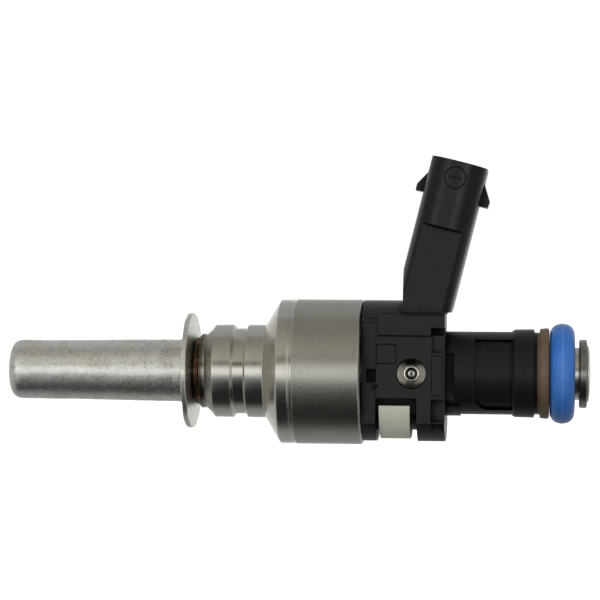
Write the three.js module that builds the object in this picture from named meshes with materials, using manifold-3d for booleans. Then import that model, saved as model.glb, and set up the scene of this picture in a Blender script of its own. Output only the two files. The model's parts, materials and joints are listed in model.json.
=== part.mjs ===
// Solenoid fuel injector for direct injection, in millimetres.
// The injector's axis is X. The nozzle points to -X, the fuel inlet to +X and the connector leans up (+Z).
// The origin is on the axis, in the plane where the seating cone meets the full-width housing.
import * as THREE from "three";
import { mergeVertices } from "three/addons/utils/BufferGeometryUtils.js";
import Module from "manifold-3d";

const wasm = await Module();
wasm.setup();

// ---- Driving dimensions -------------------------------------------------------------------------

const fine = 32; // sides of the large turned pieces
const medium = 24; // sides of the small turned pieces
const coarse = 16; // sides of the pieces inside
const fitGap = 0.1; // radial clearance between pieces that fit in each other
const faceGap = 0.05; // clearance between faces that meet

// Housing
const housingRadius = 10.6; // outside of the coil shell
const shellWall = 0.65;
const shellLength = 10.5;
const collarLength = 1.55; // full-width collar of the lower body
const spigotLength = 1.0; // step of the lower body inside the shell

// Lower body
const shankRadius = 6.83;
const grooveDepth = 0.53;
const grooveWidth = 1.05; // floor of the ring groove
const grooveChamfer = 0.4;
const frontLandLength = 2.9;
const rearLandLength = 2.7;
const coneLength = 2.2; // seating cone, from the shank to the collar
const noseRadius = 5.5;
const noseStepRadius = 4.9;
const noseLength = 0.55;
const noseStepLength = 0.95;
const noseChamferLength = 1.3;

// Nozzle and valve
const ballRadius = 1.1;
const ballSurround = 1.1; // from the ball to the nozzle's bore
const nozzleWall = 1.5;
const nozzleReach = 26.2; // how far the nozzle stands out of the lower body
const nozzleSocket = 6.3; // how far it goes into the lower body
const sealLand = 2.4; // length of the combustion seal
const sealSetback = 2.6; // from the nozzle's end to the seal
const sealDepth = 0.55; // depth of the seal's groove
const sealProud = 0.1; // how far the seal stands out of the nozzle
const seatThickness = 2.4;
const guideThickness = 1.2;
const stemRadius = 0.85;
const sprayHoles = 6;
const sprayHoleRadius = 0.13;
const sprayCircleRadius = 0.36;
const valveLift = 0.1; // travel of the needle

// Solenoid
const sleeveRadius = 5.4; // outside of the non-magnetic sleeve
const sleeveWall = 0.45;
const armatureLength = 7.3;
const armatureChamberDepth = 3.0; // behind the cone's plane
const springPocketDepth = 3.0;
const springPocketRadius = 1.95;
const fuelPassages = 4;
const fuelPassageRadius = 0.5;
const airGap = 0.15; // working gap ahead of the pole piece
const poleSpigotWall = 0.45; // wall of the pole piece inside the inlet tube
const springWireRadius = 0.25;
const springTurns = 6;
const springSideGap = 0.25; // between the spring and the pole piece's bore
const springLength = 7.6;
const adjusterLength = 5.5;
const adjusterWall = 0.8;
const bobbinWall = 0.75;
const bobbinFlange = 0.7;
const washerThickness = 1.2;

// Inlet
const tubeWall = 1.32;
const barrelWall = 2.23; // from the inlet tube to the outside of the barrel
const barrelLength = 9.4; // from the connector housing to the collar's chamfer
const barrelCollarStep = 0.37; // how far the collar stands out of the barrel
const barrelCollarLength = 2.75;
const barrelCollarChamfer = 0.55;
const barrelNoseStep = 0.05; // how much smaller the barrel's end is
const barrelNoseLength = 0.35;
const backupRadius = 6.62;
const backupLength = 1.6;
const ringWidth = 3.62; // upper O-ring, along the axis
const ringThickness = 3.4; // upper O-ring, radially
const ringGap = 0.2; // between the O-ring and the backup ring
const neckLength = 0.65; // bare neck between the O-ring and the end plate
const plateRadius = 4.98;
const plateThickness = 1.12;
const plateSeatStep = 0.52; // depth of the tube's seat for the end plate
const lipStep = 0.1; // how much smaller the rolled lip is than the tube
const lipLength = 0.8;

// Filter
const filterSetback = 5.5; // from the inlet's mouth
const filterLength = 11;
const filterRimLength = 1.4;
const filterRibs = 3;
const filterRibWidth = 0.8;
const filterWall = 0.3;
const meshThickness = 0.2;

// Connector housing
const blockLength = 12.1;
const topStep = 0.05; // how much lower the block's round top is than the shell
const undersideStep = 0.45; // how much further in its round corners are below
const undersideFlat = 0.2; // depth of the flat underneath
const sideWall = 1.15; // from the barrel's radius to the block's flats
const blockWall = 2.15; // from the block's round top to the inner moulding
const coreLength = 8.8;
const windowStart = 2.0; // the clip's window, from the block's front
const windowLength = 5.9;
const windowTop = -3.55;
const barDepth = 0.3; // raised bar under the neck
const barBottom = 5.5;
const barTop = 8.5;
const barStart = 1.8;
const ribWidth = 2.1; // rear rib of the block
const ribRecess = 1.0;
const tilt = THREE.MathUtils.degToRad(14); // the neck leans towards the inlet
const neckThickness = 8.44; // along the injector
const neckWidth = 14.8; // across the injector
const neckCorner = 3.1;
const mouthX = 14.2; // the mouth's centre, from the block's front
const mouthZ = 30.6;
const neckFront = 5.85; // where the neck starts, from the block's front
const neckFootDrop = 1.35; // from the block's round top to the underside of the neck
const socketWall = 1.15;
const socketDepth = 13;
const socketCorner = 2.2;
const panelDrop = 9.9; // from the mouth to the flat on the neck
const panelDepth = 0.8;
const noseDrop = 2.1; // from the mouth to the top of a latch nose
const latchLength = 3.25;
const latchHeight = 1.4;
const latchWidth = 4.2;
const terminalDrop = 3.4; // from the shell's radius to the terminals, where they leave the coil
const terminalPitch = 5.0;
const terminalWidth = 1.5;
const terminalThickness = 0.63;
const bladeReach = 7.2; // out of the socket's floor
const pinX = 7.15; // lock pin, from the block's front
const pinHeadRadius = 2.1;
const pinShankRadius = 1.1;
const pinStop = 0.5; // wall between the pin's end and the barrel's bore

// Locating clip
const clipThickness = 1.15;
const clipClearance = 0.15;
const clipLength = 4.75;
const clipStart = 2.15; // from the block's front
const clipAngle = THREE.MathUtils.degToRad(29); // its ends, below the horizontal

// Protective cap
const capWall = 0.45;
const capSlip = 0.13; // radial clearance over the combustion seal
const capStep = 0.12; // how much wider the open half is
const capFlare = 0.15;
const capEndRadius = 2.4;
const capEndClearance = 1.3; // from the nozzle's end to the inside of the cap
const capFlangeRadius = 8.42;
const capFlangeThickness = 0.7;
const capGap = 0.35; // from the flange to the lower body

// ---- Radii that follow, and stations along the axis --------------------------------------------------------------------

const boreRadius = ballRadius + ballSurround;
const nozzleRadius = boreRadius + nozzleWall;
const tubeBore = springPocketRadius + poleSpigotWall + fitGap;
const neckRadius = tubeBore + tubeWall; // inlet tube outside
const barrelRadius = neckRadius + barrelWall;
const barrelCollarRadius = barrelRadius + barrelCollarStep;
const barrelNoseRadius = barrelRadius - barrelNoseStep;
const plateSeatRadius = neckRadius - plateSeatStep;
const lipRadius = neckRadius - lipStep;
const blockTopRadius = housingRadius - topStep;
const blockBottomRadius = housingRadius - undersideStep;
const blockBottom = blockBottomRadius - undersideFlat;
const blockHalfWidth = barrelRadius + sideWall;
const coreRadius = blockTopRadius - blockWall;
const coreHalfWidth = barrelRadius - faceGap;
const neckFoot = blockTopRadius - neckFootDrop;

const shellFront = collarLength + faceGap;
const shellRear = shellFront + shellLength;
const washerRear = shellRear - 0.2;
const washerFront = washerRear - washerThickness;
const shankRear = -coneLength;
const grooveRear = shankRear - rearLandLength;
const grooveFront = grooveRear - 2 * grooveChamfer - grooveWidth;
const shankFront = grooveFront - frontLandLength;
const noseBack = shankFront - noseChamferLength;
const noseFront = noseBack - noseLength;
const bodyFront = noseFront - noseStepLength;
const nozzleTip = bodyFront - nozzleReach;
const nozzleBack = bodyFront + nozzleSocket;
const seatBack = nozzleTip + seatThickness;
const seatAngle = Math.PI / 4;
const ballX = seatBack - 0.15;
const seatApex = ballX - (ballRadius + faceGap / 2) / Math.sin(seatAngle);
const guideBack = seatBack + faceGap + guideThickness;
const chamberFloor = -armatureChamberDepth;
const armatureFront = chamberFloor + 0.7;
const armatureRear = armatureFront + armatureLength;
const armatureRadius = sleeveRadius - sleeveWall - fitGap;
const poleFlangeRadius = sleeveRadius - 2 * fitGap;
const poleFront = armatureRear + airGap;
const sleeveRear = shellRear - 3.2;
const sleeveFront = chamberFloor + faceGap;
const poleRear = shellRear;
const springStart = armatureRear - springPocketDepth + faceGap;
const springEnd = springStart + springLength;
const adjusterFront = springEnd + faceGap;
const bobbinFront = shellFront + spigotLength + fitGap;
const bobbinRear = washerFront - faceGap;
const blockFront = shellRear + faceGap;
const blockRear = blockFront + blockLength;
const coreFront = blockFront + faceGap;
const coreRear = blockFront + coreLength;
const collarFront = blockRear + barrelLength;
const barrelCollarStart = collarFront + barrelCollarChamfer;
const barrelCollarEnd = barrelCollarStart + barrelCollarLength;
const barrelRear = barrelCollarEnd + barrelNoseLength;
const backupFront = barrelRear + faceGap;
const backupRear = backupFront + backupLength;
const ringCentre = backupRear + ringGap + ringWidth / 2;
const plateFront = ringCentre + ringWidth / 2 + neckLength;
const plateRear = plateFront + plateThickness;
const lipEnd = plateRear + faceGap + lipLength;
const tubeFront = poleRear + faceGap;
const filterRear = lipEnd - filterSetback;
const clipFront = blockFront + clipStart;
const clipInner = coreRadius + clipClearance;
const capFlangeRear = bodyFront - capGap;
const capFlangeFront = capFlangeRear - capFlangeThickness;
const capInner = nozzleRadius + sealProud + capSlip;
const capEnd = nozzleTip - capEndClearance - capWall;

// ---- Shape helpers ------------------------------------------------------------------------------

// A closed mesh as a solid.
function solid(geometry) {
  const bare = new THREE.BufferGeometry();
  const flat = geometry.index ? geometry.toNonIndexed() : geometry;
  bare.setAttribute("position", flat.getAttribute("position"));
  const merged = mergeVertices(bare, 1e-4);
  return new wasm.Manifold(
    new wasm.Mesh({
      numProp: 3,
      vertProperties: merged.attributes.position.array,
      triVerts: new Uint32Array(merged.index.array),
    }),
  );
}

// A solid as a geometry with flat faces.
function geometryOf(made) {
  const mesh = made.getMesh();
  const positions = new Float32Array(mesh.numVert * 3);
  for (let i = 0; i < mesh.numVert; i++)
    positions.set(mesh.vertProperties.subarray(i * mesh.numProp, i * mesh.numProp + 3), i * 3);
  const geometry = new THREE.BufferGeometry();
  geometry.setAttribute("position", new THREE.BufferAttribute(positions, 3));
  geometry.setIndex(new THREE.BufferAttribute(new Uint32Array(mesh.triVerts), 1));
  const flat = geometry.toNonIndexed();
  flat.computeVertexNormals();
  return flat;
}

// A body turned about the X axis from [x, radius] points. The outline closes by itself.
function turned(points, sides) {
  const turns = points.map(([x, r], i) => {
    const [nextX, nextR] = points[(i + 1) % points.length];
    return x * nextR - nextX * r;
  });
  const area = turns.reduce((sum, a) => sum + a, 0);
  const outline = area > 0 ? [...points] : [...points].reverse();
  // An outline that touches the axis starts and ends there; any other closes on its first point.
  const touching = outline.findIndex(([, r], i) => {
    const [, nextR] = outline[(i + 1) % outline.length];
    return r === 0 && nextR === 0;
  });
  const ordered =
    touching < 0
      ? [...outline, outline[0]]
      : [...outline.slice(touching + 1), ...outline.slice(0, touching + 1)];
  const profile = ordered.map(([x, r]) => new THREE.Vector2(r, x));
  return new THREE.LatheGeometry(profile.reverse(), sides).rotateZ(-Math.PI / 2);
}

// A tube between two stations.
function ring(x0, x1, inner, outer, sides) {
  return turned([[x0, inner], [x0, outer], [x1, outer], [x1, inner]], sides);
}

// A solid cylinder between two stations.
function rod(x0, x1, radius, sides) {
  return turned([[x0, 0], [x0, radius], [x1, radius], [x1, 0]], sides);
}

// A box from its lowest to its highest corner.
function box(x0, x1, y0, y1, z0, z1) {
  return new THREE.BoxGeometry(x1 - x0, y1 - y0, z1 - z0).translate(
    (x0 + x1) / 2,
    (y0 + y1) / 2,
    (z0 + z1) / 2,
  );
}

// A YZ outline extruded along X.
function alongX(shape, x0, x1, curveSegments = 8) {
  const geometry = new THREE.ExtrudeGeometry(shape, {
    depth: x1 - x0,
    bevelEnabled: false,
    curveSegments,
  });
  const basis = new THREE.Matrix4().makeBasis(
    new THREE.Vector3(0, 1, 0),
    new THREE.Vector3(0, 0, 1),
    new THREE.Vector3(1, 0, 0),
  );
  return geometry.applyMatrix4(basis).translate(x0, 0, 0);
}

// A rectangle with round corners, centred on the origin.
function roundedRectangle(width, height, corner) {
  const w = width / 2;
  const h = height / 2;
  const shape = new THREE.Shape();
  shape.moveTo(-w + corner, -h);
  shape.lineTo(w - corner, -h);
  shape.absarc(w - corner, -h + corner, corner, -Math.PI / 2, 0);
  shape.lineTo(w, h - corner);
  shape.absarc(w - corner, h - corner, corner, 0, Math.PI / 2);
  shape.lineTo(-w + corner, h);
  shape.absarc(-w + corner, h - corner, corner, Math.PI / 2, Math.PI);
  shape.lineTo(-w, -h + corner);
  shape.absarc(-w + corner, -h + corner, corner, Math.PI, 1.5 * Math.PI);
  return shape;
}

// Places a piece made in the neck's own frame: X across the neck, Y across the injector, and Z out
// of the mouth, with the origin at the mouth's centre.
function inNeck(geometry) {
  return geometry.rotateY(tilt).translate(blockFront + mouthX, 0, mouthZ);
}

// A prism in the neck's own frame, between two depths below the mouth.
function neckPrism(shape, shallow, deep, curveSegments = 3) {
  const geometry = new THREE.ExtrudeGeometry(shape, {
    depth: deep - shallow,
    bevelEnabled: false,
    curveSegments,
  });
  return inNeck(geometry.translate(0, 0, -deep));
}

// ---- Materials ----------------------------------------------------------------------------------

function finish(color, roughness, metalness) {
  return new THREE.MeshStandardMaterial({ color, roughness, metalness });
}
const polishedSteel = finish(0xb4b2a8, 0.25, 1);
const satinSteel = finish(0x9a978c, 0.45, 1);
const drawnAluminium = finish(0xb9bab6, 0.4, 1);
const blackPlastic = finish(0x242322, 0.5, 0);
const greyPlastic = finish(0xa8a89c, 0.6, 0);
const blueRubber = finish(0x2a63b0, 0.4, 0);
const brownPolymer = finish(0x66543d, 0.55, 0);
const whitePolymer = finish(0xe4e2da, 0.5, 0);
const copper = finish(0xb5683a, 0.35, 1);
const springSteel = finish(0x8f8f92, 0.3, 1);
const magneticSteel = finish(0x87868a, 0.4, 1);
const bobbinPlastic = finish(0x3c3b38, 0.6, 0);
const tinnedCopper = finish(0xc9c6bd, 0.3, 1);

const injector = new THREE.Group();

function add(name, geometry, material) {
  const mesh = new THREE.Mesh(geometry, material);
  mesh.name = name;
  injector.add(mesh);
  return mesh;
}

// ---- Nozzle end ---------------------------------------------------------------------------------

// Drawn cap with a flange, pushed over the nozzle.
function protectiveCap() {
  const outer = capInner + capWall;
  const stepX = capFlangeFront - 10;
  const corner = [];
  const steps = 4;
  for (let i = 0; i <= steps; i++) {
    const a = ((Math.PI / 2) * i) / steps;
    corner.push([
      capEnd + capEndRadius * (1 - Math.sin(a)),
      outer - capEndRadius * (1 - Math.cos(a)),
    ]);
  }
  corner.reverse();
  const innerCorner = capEndRadius - capWall;
  const inside = corner.map(([x, r]) => [
    capEnd + capWall + ((x - capEnd) * innerCorner) / capEndRadius,
    capInner - ((outer - r) * innerCorner) / capEndRadius,
  ]);
  const wide = capStep;
  const flare = capStep + capFlare;
  return turned(
    [
      [capEnd, 0],
      ...corner,
      [stepX - 1, outer],
      [stepX + 1, outer + wide],
      [capFlangeFront - 1.4, outer + wide],
      [capFlangeFront, outer + flare],
      [capFlangeFront, capFlangeRadius],
      [capFlangeRear, capFlangeRadius],
      [capFlangeRear, capInner + flare],
      [capFlangeFront - 1.2, capInner + wide],
      [stepX + 1, capInner + wide],
      [stepX - 1, capInner],
      ...inside.reverse(),
      [capEnd + capWall, 0],
    ],
    fine,
  );
}

// Tube that carries the valve, with a groove for the combustion seal.
function nozzleTube() {
  const sealFront = nozzleTip + sealSetback;
  const sealBack = sealFront + sealLand;
  const floor = nozzleRadius - sealDepth;
  return turned(
    [
      [nozzleTip + 0.4, boreRadius],
      [nozzleTip, boreRadius + 0.3],
      [nozzleTip, nozzleRadius - 0.5],
      [nozzleTip + 0.5, nozzleRadius],
      [sealFront, nozzleRadius],
      [sealFront, floor],
      [sealBack, floor],
      [sealBack, nozzleRadius],
      [nozzleBack, nozzleRadius],
      [nozzleBack, boreRadius],
    ],
    medium,
  );
}

function combustionSeal() {
  const front = nozzleTip + sealSetback + faceGap;
  const back = front + sealLand - 2 * faceGap;
  return ring(front, back, nozzleRadius - sealDepth + faceGap, nozzleRadius + sealProud, medium);
}

// Seat welded into the nozzle's end, with a cone for the ball and a ring of spray holes.
function valveSeat() {
  const sacRadius = 0.55;
  const sacX = seatApex + sacRadius / Math.tan(seatAngle);
  const mouthRadius = (seatBack - seatApex) * Math.tan(seatAngle);
  const sacFloor = nozzleTip + 0.65;
  const outer = boreRadius - fitGap;
  let seat = solid(
    turned(
      [
        [nozzleTip + 0.05, 0],
        [nozzleTip + 0.05, 1.2],
        [nozzleTip + 0.5, outer],
        [seatBack, outer],
        [seatBack, mouthRadius],
        [sacX, sacRadius],
        [sacFloor, sacRadius],
        [sacFloor, 0],
      ],
      coarse,
    ),
  );
  for (let i = 0; i < sprayHoles; i++) {
    const a = (2 * Math.PI * i) / sprayHoles;
    const hole = rod(nozzleTip - 1, sacFloor + 0.05, sprayHoleRadius, 8);
    hole.translate(0, sprayCircleRadius * Math.cos(a), sprayCircleRadius * Math.sin(a));
    seat = seat.subtract(solid(hole));
  }
  return geometryOf(seat);
}

// Disc that guides the ball, with slots that swirl the fuel.
function guideDisc() {
  const bore = ballRadius + 0.06;
  let disc = solid(ring(seatBack + faceGap, guideBack, bore, boreRadius - fitGap, coarse));
  for (let i = 0; i < 4; i++) {
    const slot = box(seatBack, guideBack + 1, bore - 0.35, bore + 0.5, -0.3, 0.3);
    disc = disc.subtract(solid(slot.rotateX((Math.PI / 2) * i + 0.4)));
  }
  return geometryOf(disc);
}

function valveBall() {
  const ball = new THREE.SphereGeometry(ballRadius, coarse, 10);
  return ball.rotateZ(Math.PI / 2).translate(ballX, 0, 0);
}

// Rod from the ball to the armature.
function needleStem() {
  return rod(ballX + ballRadius + 0.02, armatureFront + 3.5, stemRadius, coarse);
}

// Bush in the lower body that keeps the needle central.
function needleGuide() {
  const front = nozzleBack + faceGap;
  let guide = solid(
    ring(front, chamberFloor - faceGap, stemRadius + 0.06, boreRadius + 0.2 - fitGap, coarse),
  );
  for (let i = 0; i < 3; i++) {
    const slot = box(front - 1, chamberFloor + 1, stemRadius + 0.65, boreRadius + 1, -0.5, 0.5);
    guide = guide.subtract(solid(slot.rotateX((2 * Math.PI * i) / 3)));
  }
  return geometryOf(guide);
}

// Turned stainless body: nose, ring groove, seating cone and full-width collar.
function lowerBody() {
  const floor = shankRadius - grooveDepth;
  const spigot = housingRadius - shellWall - fitGap;
  return turned(
    [
      [bodyFront, nozzleRadius + fitGap],
      [bodyFront, noseStepRadius],
      [noseFront, noseStepRadius],
      [noseFront, noseRadius],
      [noseBack, noseRadius],
      [shankFront, shankRadius],
      [grooveFront, shankRadius],
      [grooveFront + grooveChamfer, floor],
      [grooveRear - grooveChamfer, floor],
      [grooveRear, shankRadius],
      [shankRear, shankRadius],
      [shankRear + 0.25, shankRadius + 0.6],
      [-0.25, housingRadius - 0.2],
      [0, housingRadius - 0.05],
      [collarLength, housingRadius - 0.05],
      [collarLength, spigot],
      [collarLength + spigotLength, spigot],
      [collarLength + spigotLength, sleeveRadius + fitGap],
      [chamberFloor, sleeveRadius + fitGap],
      [chamberFloor, boreRadius + 0.2],
      [nozzleBack + faceGap / 2, boreRadius + 0.2],
      [nozzleBack + faceGap / 2, nozzleRadius + fitGap],
    ],
    fine,
  );
}

// ---- Solenoid -----------------------------------------------------------------------------------

function coilShell() {
  const inner = housingRadius - shellWall;
  return turned(
    [
      [shellFront, inner],
      [shellFront, housingRadius - 0.15],
      [shellFront + 0.15, housingRadius],
      [shellRear - 0.3, housingRadius],
      [shellRear, housingRadius - 0.3],
      [shellRear, inner],
    ],
    fine,
  );
}

// Thin sleeve that seals the armature's chamber from the coil.
function nonmagneticSleeve() {
  return ring(sleeveFront, sleeveRear, sleeveRadius - sleeveWall, sleeveRadius, medium);
}

// Armature on the needle, with the spring's pocket and fuel passages.
function armature() {
  const floor = armatureRear - springPocketDepth;
  let made = solid(
    turned(
      [
        [armatureFront, stemRadius + 0.03],
        [armatureFront, armatureRadius - 0.3],
        [armatureFront + 0.3, armatureRadius],
        [armatureRear, armatureRadius],
        [armatureRear, springPocketRadius],
        [floor, springPocketRadius],
        [floor, stemRadius + 0.03],
      ],
      medium,
    ),
  );
  const circle = (springPocketRadius + armatureRadius) / 2;
  for (let i = 0; i < fuelPassages; i++) {
    const passage = rod(armatureFront - 1, armatureRear + 1, fuelPassageRadius, 10);
    passage.translate(0, circle, 0).rotateX((2 * Math.PI * i) / fuelPassages);
    made = made.subtract(solid(passage));
  }
  return geometryOf(made);
}

class Helix extends THREE.Curve {
  constructor(start, end, radius, turns) {
    super();
    Object.assign(this, { start, end, radius, turns });
  }
  getPoint(t, target = new THREE.Vector3()) {
    const a = 2 * Math.PI * this.turns * t;
    const x = this.start + (this.end - this.start) * t;
    return target.set(x, this.radius * Math.cos(a), this.radius * Math.sin(a));
  }
}

function closingSpring() {
  const radius = springPocketRadius - springSideGap - springWireRadius;
  const start = springStart + springWireRadius;
  const path = new Helix(start, springEnd - springWireRadius, radius, springTurns);
  const section = new THREE.Shape();
  section.absarc(0, 0, springWireRadius, 0, 2 * Math.PI);
  return new THREE.ExtrudeGeometry(section, {
    steps: springTurns * 9,
    curveSegments: 3,
    extrudePath: path,
    bevelEnabled: false,
  });
}

// Magnetic core. Its spigot enters the inlet tube.
function polePiece() {
  const bore = springPocketRadius;
  const spigot = tubeBore - fitGap;
  const throat = sleeveRear + faceGap;
  return turned(
    [
      [poleFront, bore],
      [poleFront, armatureRadius],
      [throat, armatureRadius],
      [throat, poleFlangeRadius],
      [poleRear, poleFlangeRadius],
      [poleRear, spigot],
      [poleRear + 3, spigot],
      [poleRear + 3, bore],
    ],
    medium,
  );
}

// Pressed sleeve that sets the spring's load.
function adjustingSleeve() {
  const outer = springPocketRadius - fitGap;
  const inner = outer - adjusterWall;
  const end = adjusterFront + adjusterLength;
  return turned(
    [
      [adjusterFront, inner],
      [adjusterFront, outer - 0.2],
      [adjusterFront + 0.2, outer],
      [end, outer],
      [end, inner],
    ],
    coarse,
  );
}

function bobbinHub() {
  return sleeveRadius + 2 * fitGap;
}

function coilBobbin() {
  const rim = housingRadius - shellWall - 0.6;
  const hub = bobbinHub();
  return turned(
    [
      [bobbinFront, hub],
      [bobbinFront, rim],
      [bobbinFront + bobbinFlange, rim],
      [bobbinFront + bobbinFlange, hub + bobbinWall],
      [bobbinRear - bobbinFlange, hub + bobbinWall],
      [bobbinRear - bobbinFlange, rim],
      [bobbinRear, rim],
      [bobbinRear, hub],
    ],
    medium,
  );
}

function coilWinding() {
  const rim = housingRadius - shellWall - 0.85;
  const front = bobbinFront + bobbinFlange + faceGap;
  const rear = bobbinRear - bobbinFlange - faceGap;
  return ring(front, rear, bobbinHub() + bobbinWall + fitGap, rim, medium);
}

// Steel washer that closes the magnetic circuit, with a slot for the terminals.
function fluxWasher() {
  const washer = solid(
    ring(washerFront, washerRear, poleFlangeRadius + fitGap, housingRadius - shellWall - fitGap, medium),
  );
  const half = terminalPitch / 2 + terminalWidth / 2 + 0.6;
  return geometryOf(washer.subtract(solid(box(0, blockRear, -half, half, terminalFloor - 0.5, 20))));
}

// ---- Terminals ----------------------------------------------------------------------------------

const terminalFloor = housingRadius - terminalDrop;
const terminalBend = 1.2; // from the block's front to where they turn up

// One terminal: a foot at the coil, a riser and a blade in the socket. grow widens it, which makes
// the hollow that the moulding leaves for it.
function terminal(side, grow = 0) {
  const t = terminalThickness / 2 + grow;
  const w = terminalWidth / 2 + grow;
  const y = (side * terminalPitch) / 2;
  const bendX = blockFront + terminalBend;
  const footFront = washerFront + 0.2;
  const socketFloor = blockFront + mouthX - socketDepth * Math.sin(tilt);
  const kneeZ = terminalFloor + 3.6;
  const kneeX = socketFloor - (mouthZ - socketDepth * Math.cos(tilt) - kneeZ) * Math.tan(tilt);
  const tipDepth = socketDepth - bladeReach;
  const foot = box(footFront - grow, bendX + t, y - w, y + w, terminalFloor - t, terminalFloor + t);
  const riser = box(bendX - t, bendX + t, y - w, y + w, terminalFloor - t, kneeZ - 1 + t);
  const bridge = box(bendX - t, kneeX + t, y - w, y + w, kneeZ - 1 - t, kneeZ - 1 + t);
  const bladeLength = (mouthZ - kneeZ + 1) / Math.cos(tilt) - tipDepth;
  const blade = inNeck(
    new THREE.BoxGeometry(2 * t, 2 * w, bladeLength).translate(0, y, -tipDepth - bladeLength / 2),
  );
  return solid(foot).add(solid(riser)).add(solid(bridge)).add(solid(blade));
}

// ---- Mouldings ----------------------------------------------------------------------------------

// Inner moulding: the core under the connector housing and the barrel around the inlet tube.
function inletBarrel() {
  const bore = neckRadius + fitGap;
  const core = solid(ring(coreFront, coreRear, bore, coreRadius, fine)).intersect(
    solid(box(coreFront - 1, coreRear + 1, -coreHalfWidth, coreHalfWidth, -20, 20)),
  );
  const barrel = turned(
    [
      [coreRear - 1, bore],
      [coreRear - 1, barrelRadius],
      [collarFront, barrelRadius],
      [barrelCollarStart, barrelCollarRadius],
      [barrelCollarEnd, barrelCollarRadius + 0.04],
      [barrelCollarEnd, barrelNoseRadius],
      [barrelRear, barrelNoseRadius],
      [barrelRear, bore],
    ],
    fine,
  );
  const slotRight = blockRear + 1.35;
  const tabRight = blockRear + 2.2;
  const tab = solid(ring(blockRear + faceGap, tabRight, bore + 1, barrelRadius + 0.23, fine)).intersect(
    solid(box(blockRear, tabRight + 1, -4.2, 4.2, -9, -4.9)),
  );
  const pocketFront = blockRear + 4.1;
  const pocket = solid(
    ring(pocketFront, collarFront - 0.05, barrelRadius - 0.3, barrelRadius + 1, fine),
  ).intersect(solid(box(pocketFront - 1, collarFront + 1, -9, 0, -5.3, 4.9)));
  const slot = solid(box(blockRear + faceGap, slotRight, -9, -barrelRadius + 2.3, -4.85, 3.05));
  const ends = terminal(-1, faceGap).add(terminal(1, faceGap));
  let moulding = core.add(solid(barrel)).add(tab).subtract(pocket).subtract(slot).subtract(ends);
  for (const side of [-1, 1]) moulding = moulding.subtract(lockPinSolid(side, fitGap));
  return geometryOf(moulding);
}

// The block's outline across the injector: round on top, flat on both sides, nearly flat below.
function blockOutline() {
  const top = Math.acos(blockHalfWidth / blockTopRadius);
  const low = Math.acos(blockHalfWidth / blockBottomRadius);
  const under = Math.asin(blockBottom / blockBottomRadius);
  const shape = new THREE.Shape();
  shape.moveTo(blockHalfWidth, -blockBottomRadius * Math.sin(low));
  shape.lineTo(blockHalfWidth, blockTopRadius * Math.sin(top));
  shape.absarc(0, 0, blockTopRadius, top, Math.PI - top);
  shape.lineTo(-blockHalfWidth, -blockBottomRadius * Math.sin(low));
  shape.absarc(0, 0, blockBottomRadius, Math.PI + low, Math.PI + under);
  shape.lineTo(blockBottomRadius * Math.cos(under), -blockBottom);
  shape.absarc(0, 0, blockBottomRadius, -under, -low);
  return shape;
}

// A latch nose on one side of the neck: -1 faces the nozzle, 1 faces the inlet.
function latchNose(side) {
  const inner = (side * neckThickness) / 2 - side * 0.5;
  const outer = side * (neckThickness / 2 + latchHeight);
  const shape = new THREE.Shape();
  shape.moveTo(inner, -noseDrop + 0.5);
  shape.lineTo((side * neckThickness) / 2, -noseDrop);
  shape.lineTo(outer, -noseDrop - 0.72 * latchLength);
  shape.lineTo(outer, -noseDrop - latchLength);
  shape.lineTo(inner, -noseDrop - latchLength);
  const geometry = new THREE.ExtrudeGeometry(shape, { depth: latchWidth, bevelEnabled: false });
  // The outline lies in the neck's XZ plane, and the extrusion runs across the injector.
  return solid(inNeck(geometry.rotateX(Math.PI / 2).translate(0, latchWidth / 2, 0)));
}

// Metal pin with a dished head that locks the housing to the inner moulding.
function lockPinSolid(side, grow = 0) {
  const face = blockHalfWidth - 0.25;
  const head = pinHeadRadius + grow;
  const shank = pinShankRadius + grow;
  const foot = neckRadius + fitGap + pinStop - grow;
  const dish = grow ? [[face + 2, head], [face + 2, 0]] : [
    [face, head],
    [face - 0.95, 1.25],
    [face - 0.75, 1.05],
    [face - 0.75, 0.7],
    [face - 1.3, 0.6],
    [face - 1.3, 0],
  ];
  const pin = turned(
    [
      [foot, 0],
      [foot, shank],
      [face - 1.7 - grow, shank],
      [face - 1.1 - grow, head],
      ...dish,
    ],
    coarse,
  );
  pin.rotateZ((side * Math.PI) / 2).translate(blockFront + pinX, 0, 0);
  return solid(pin);
}

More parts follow.
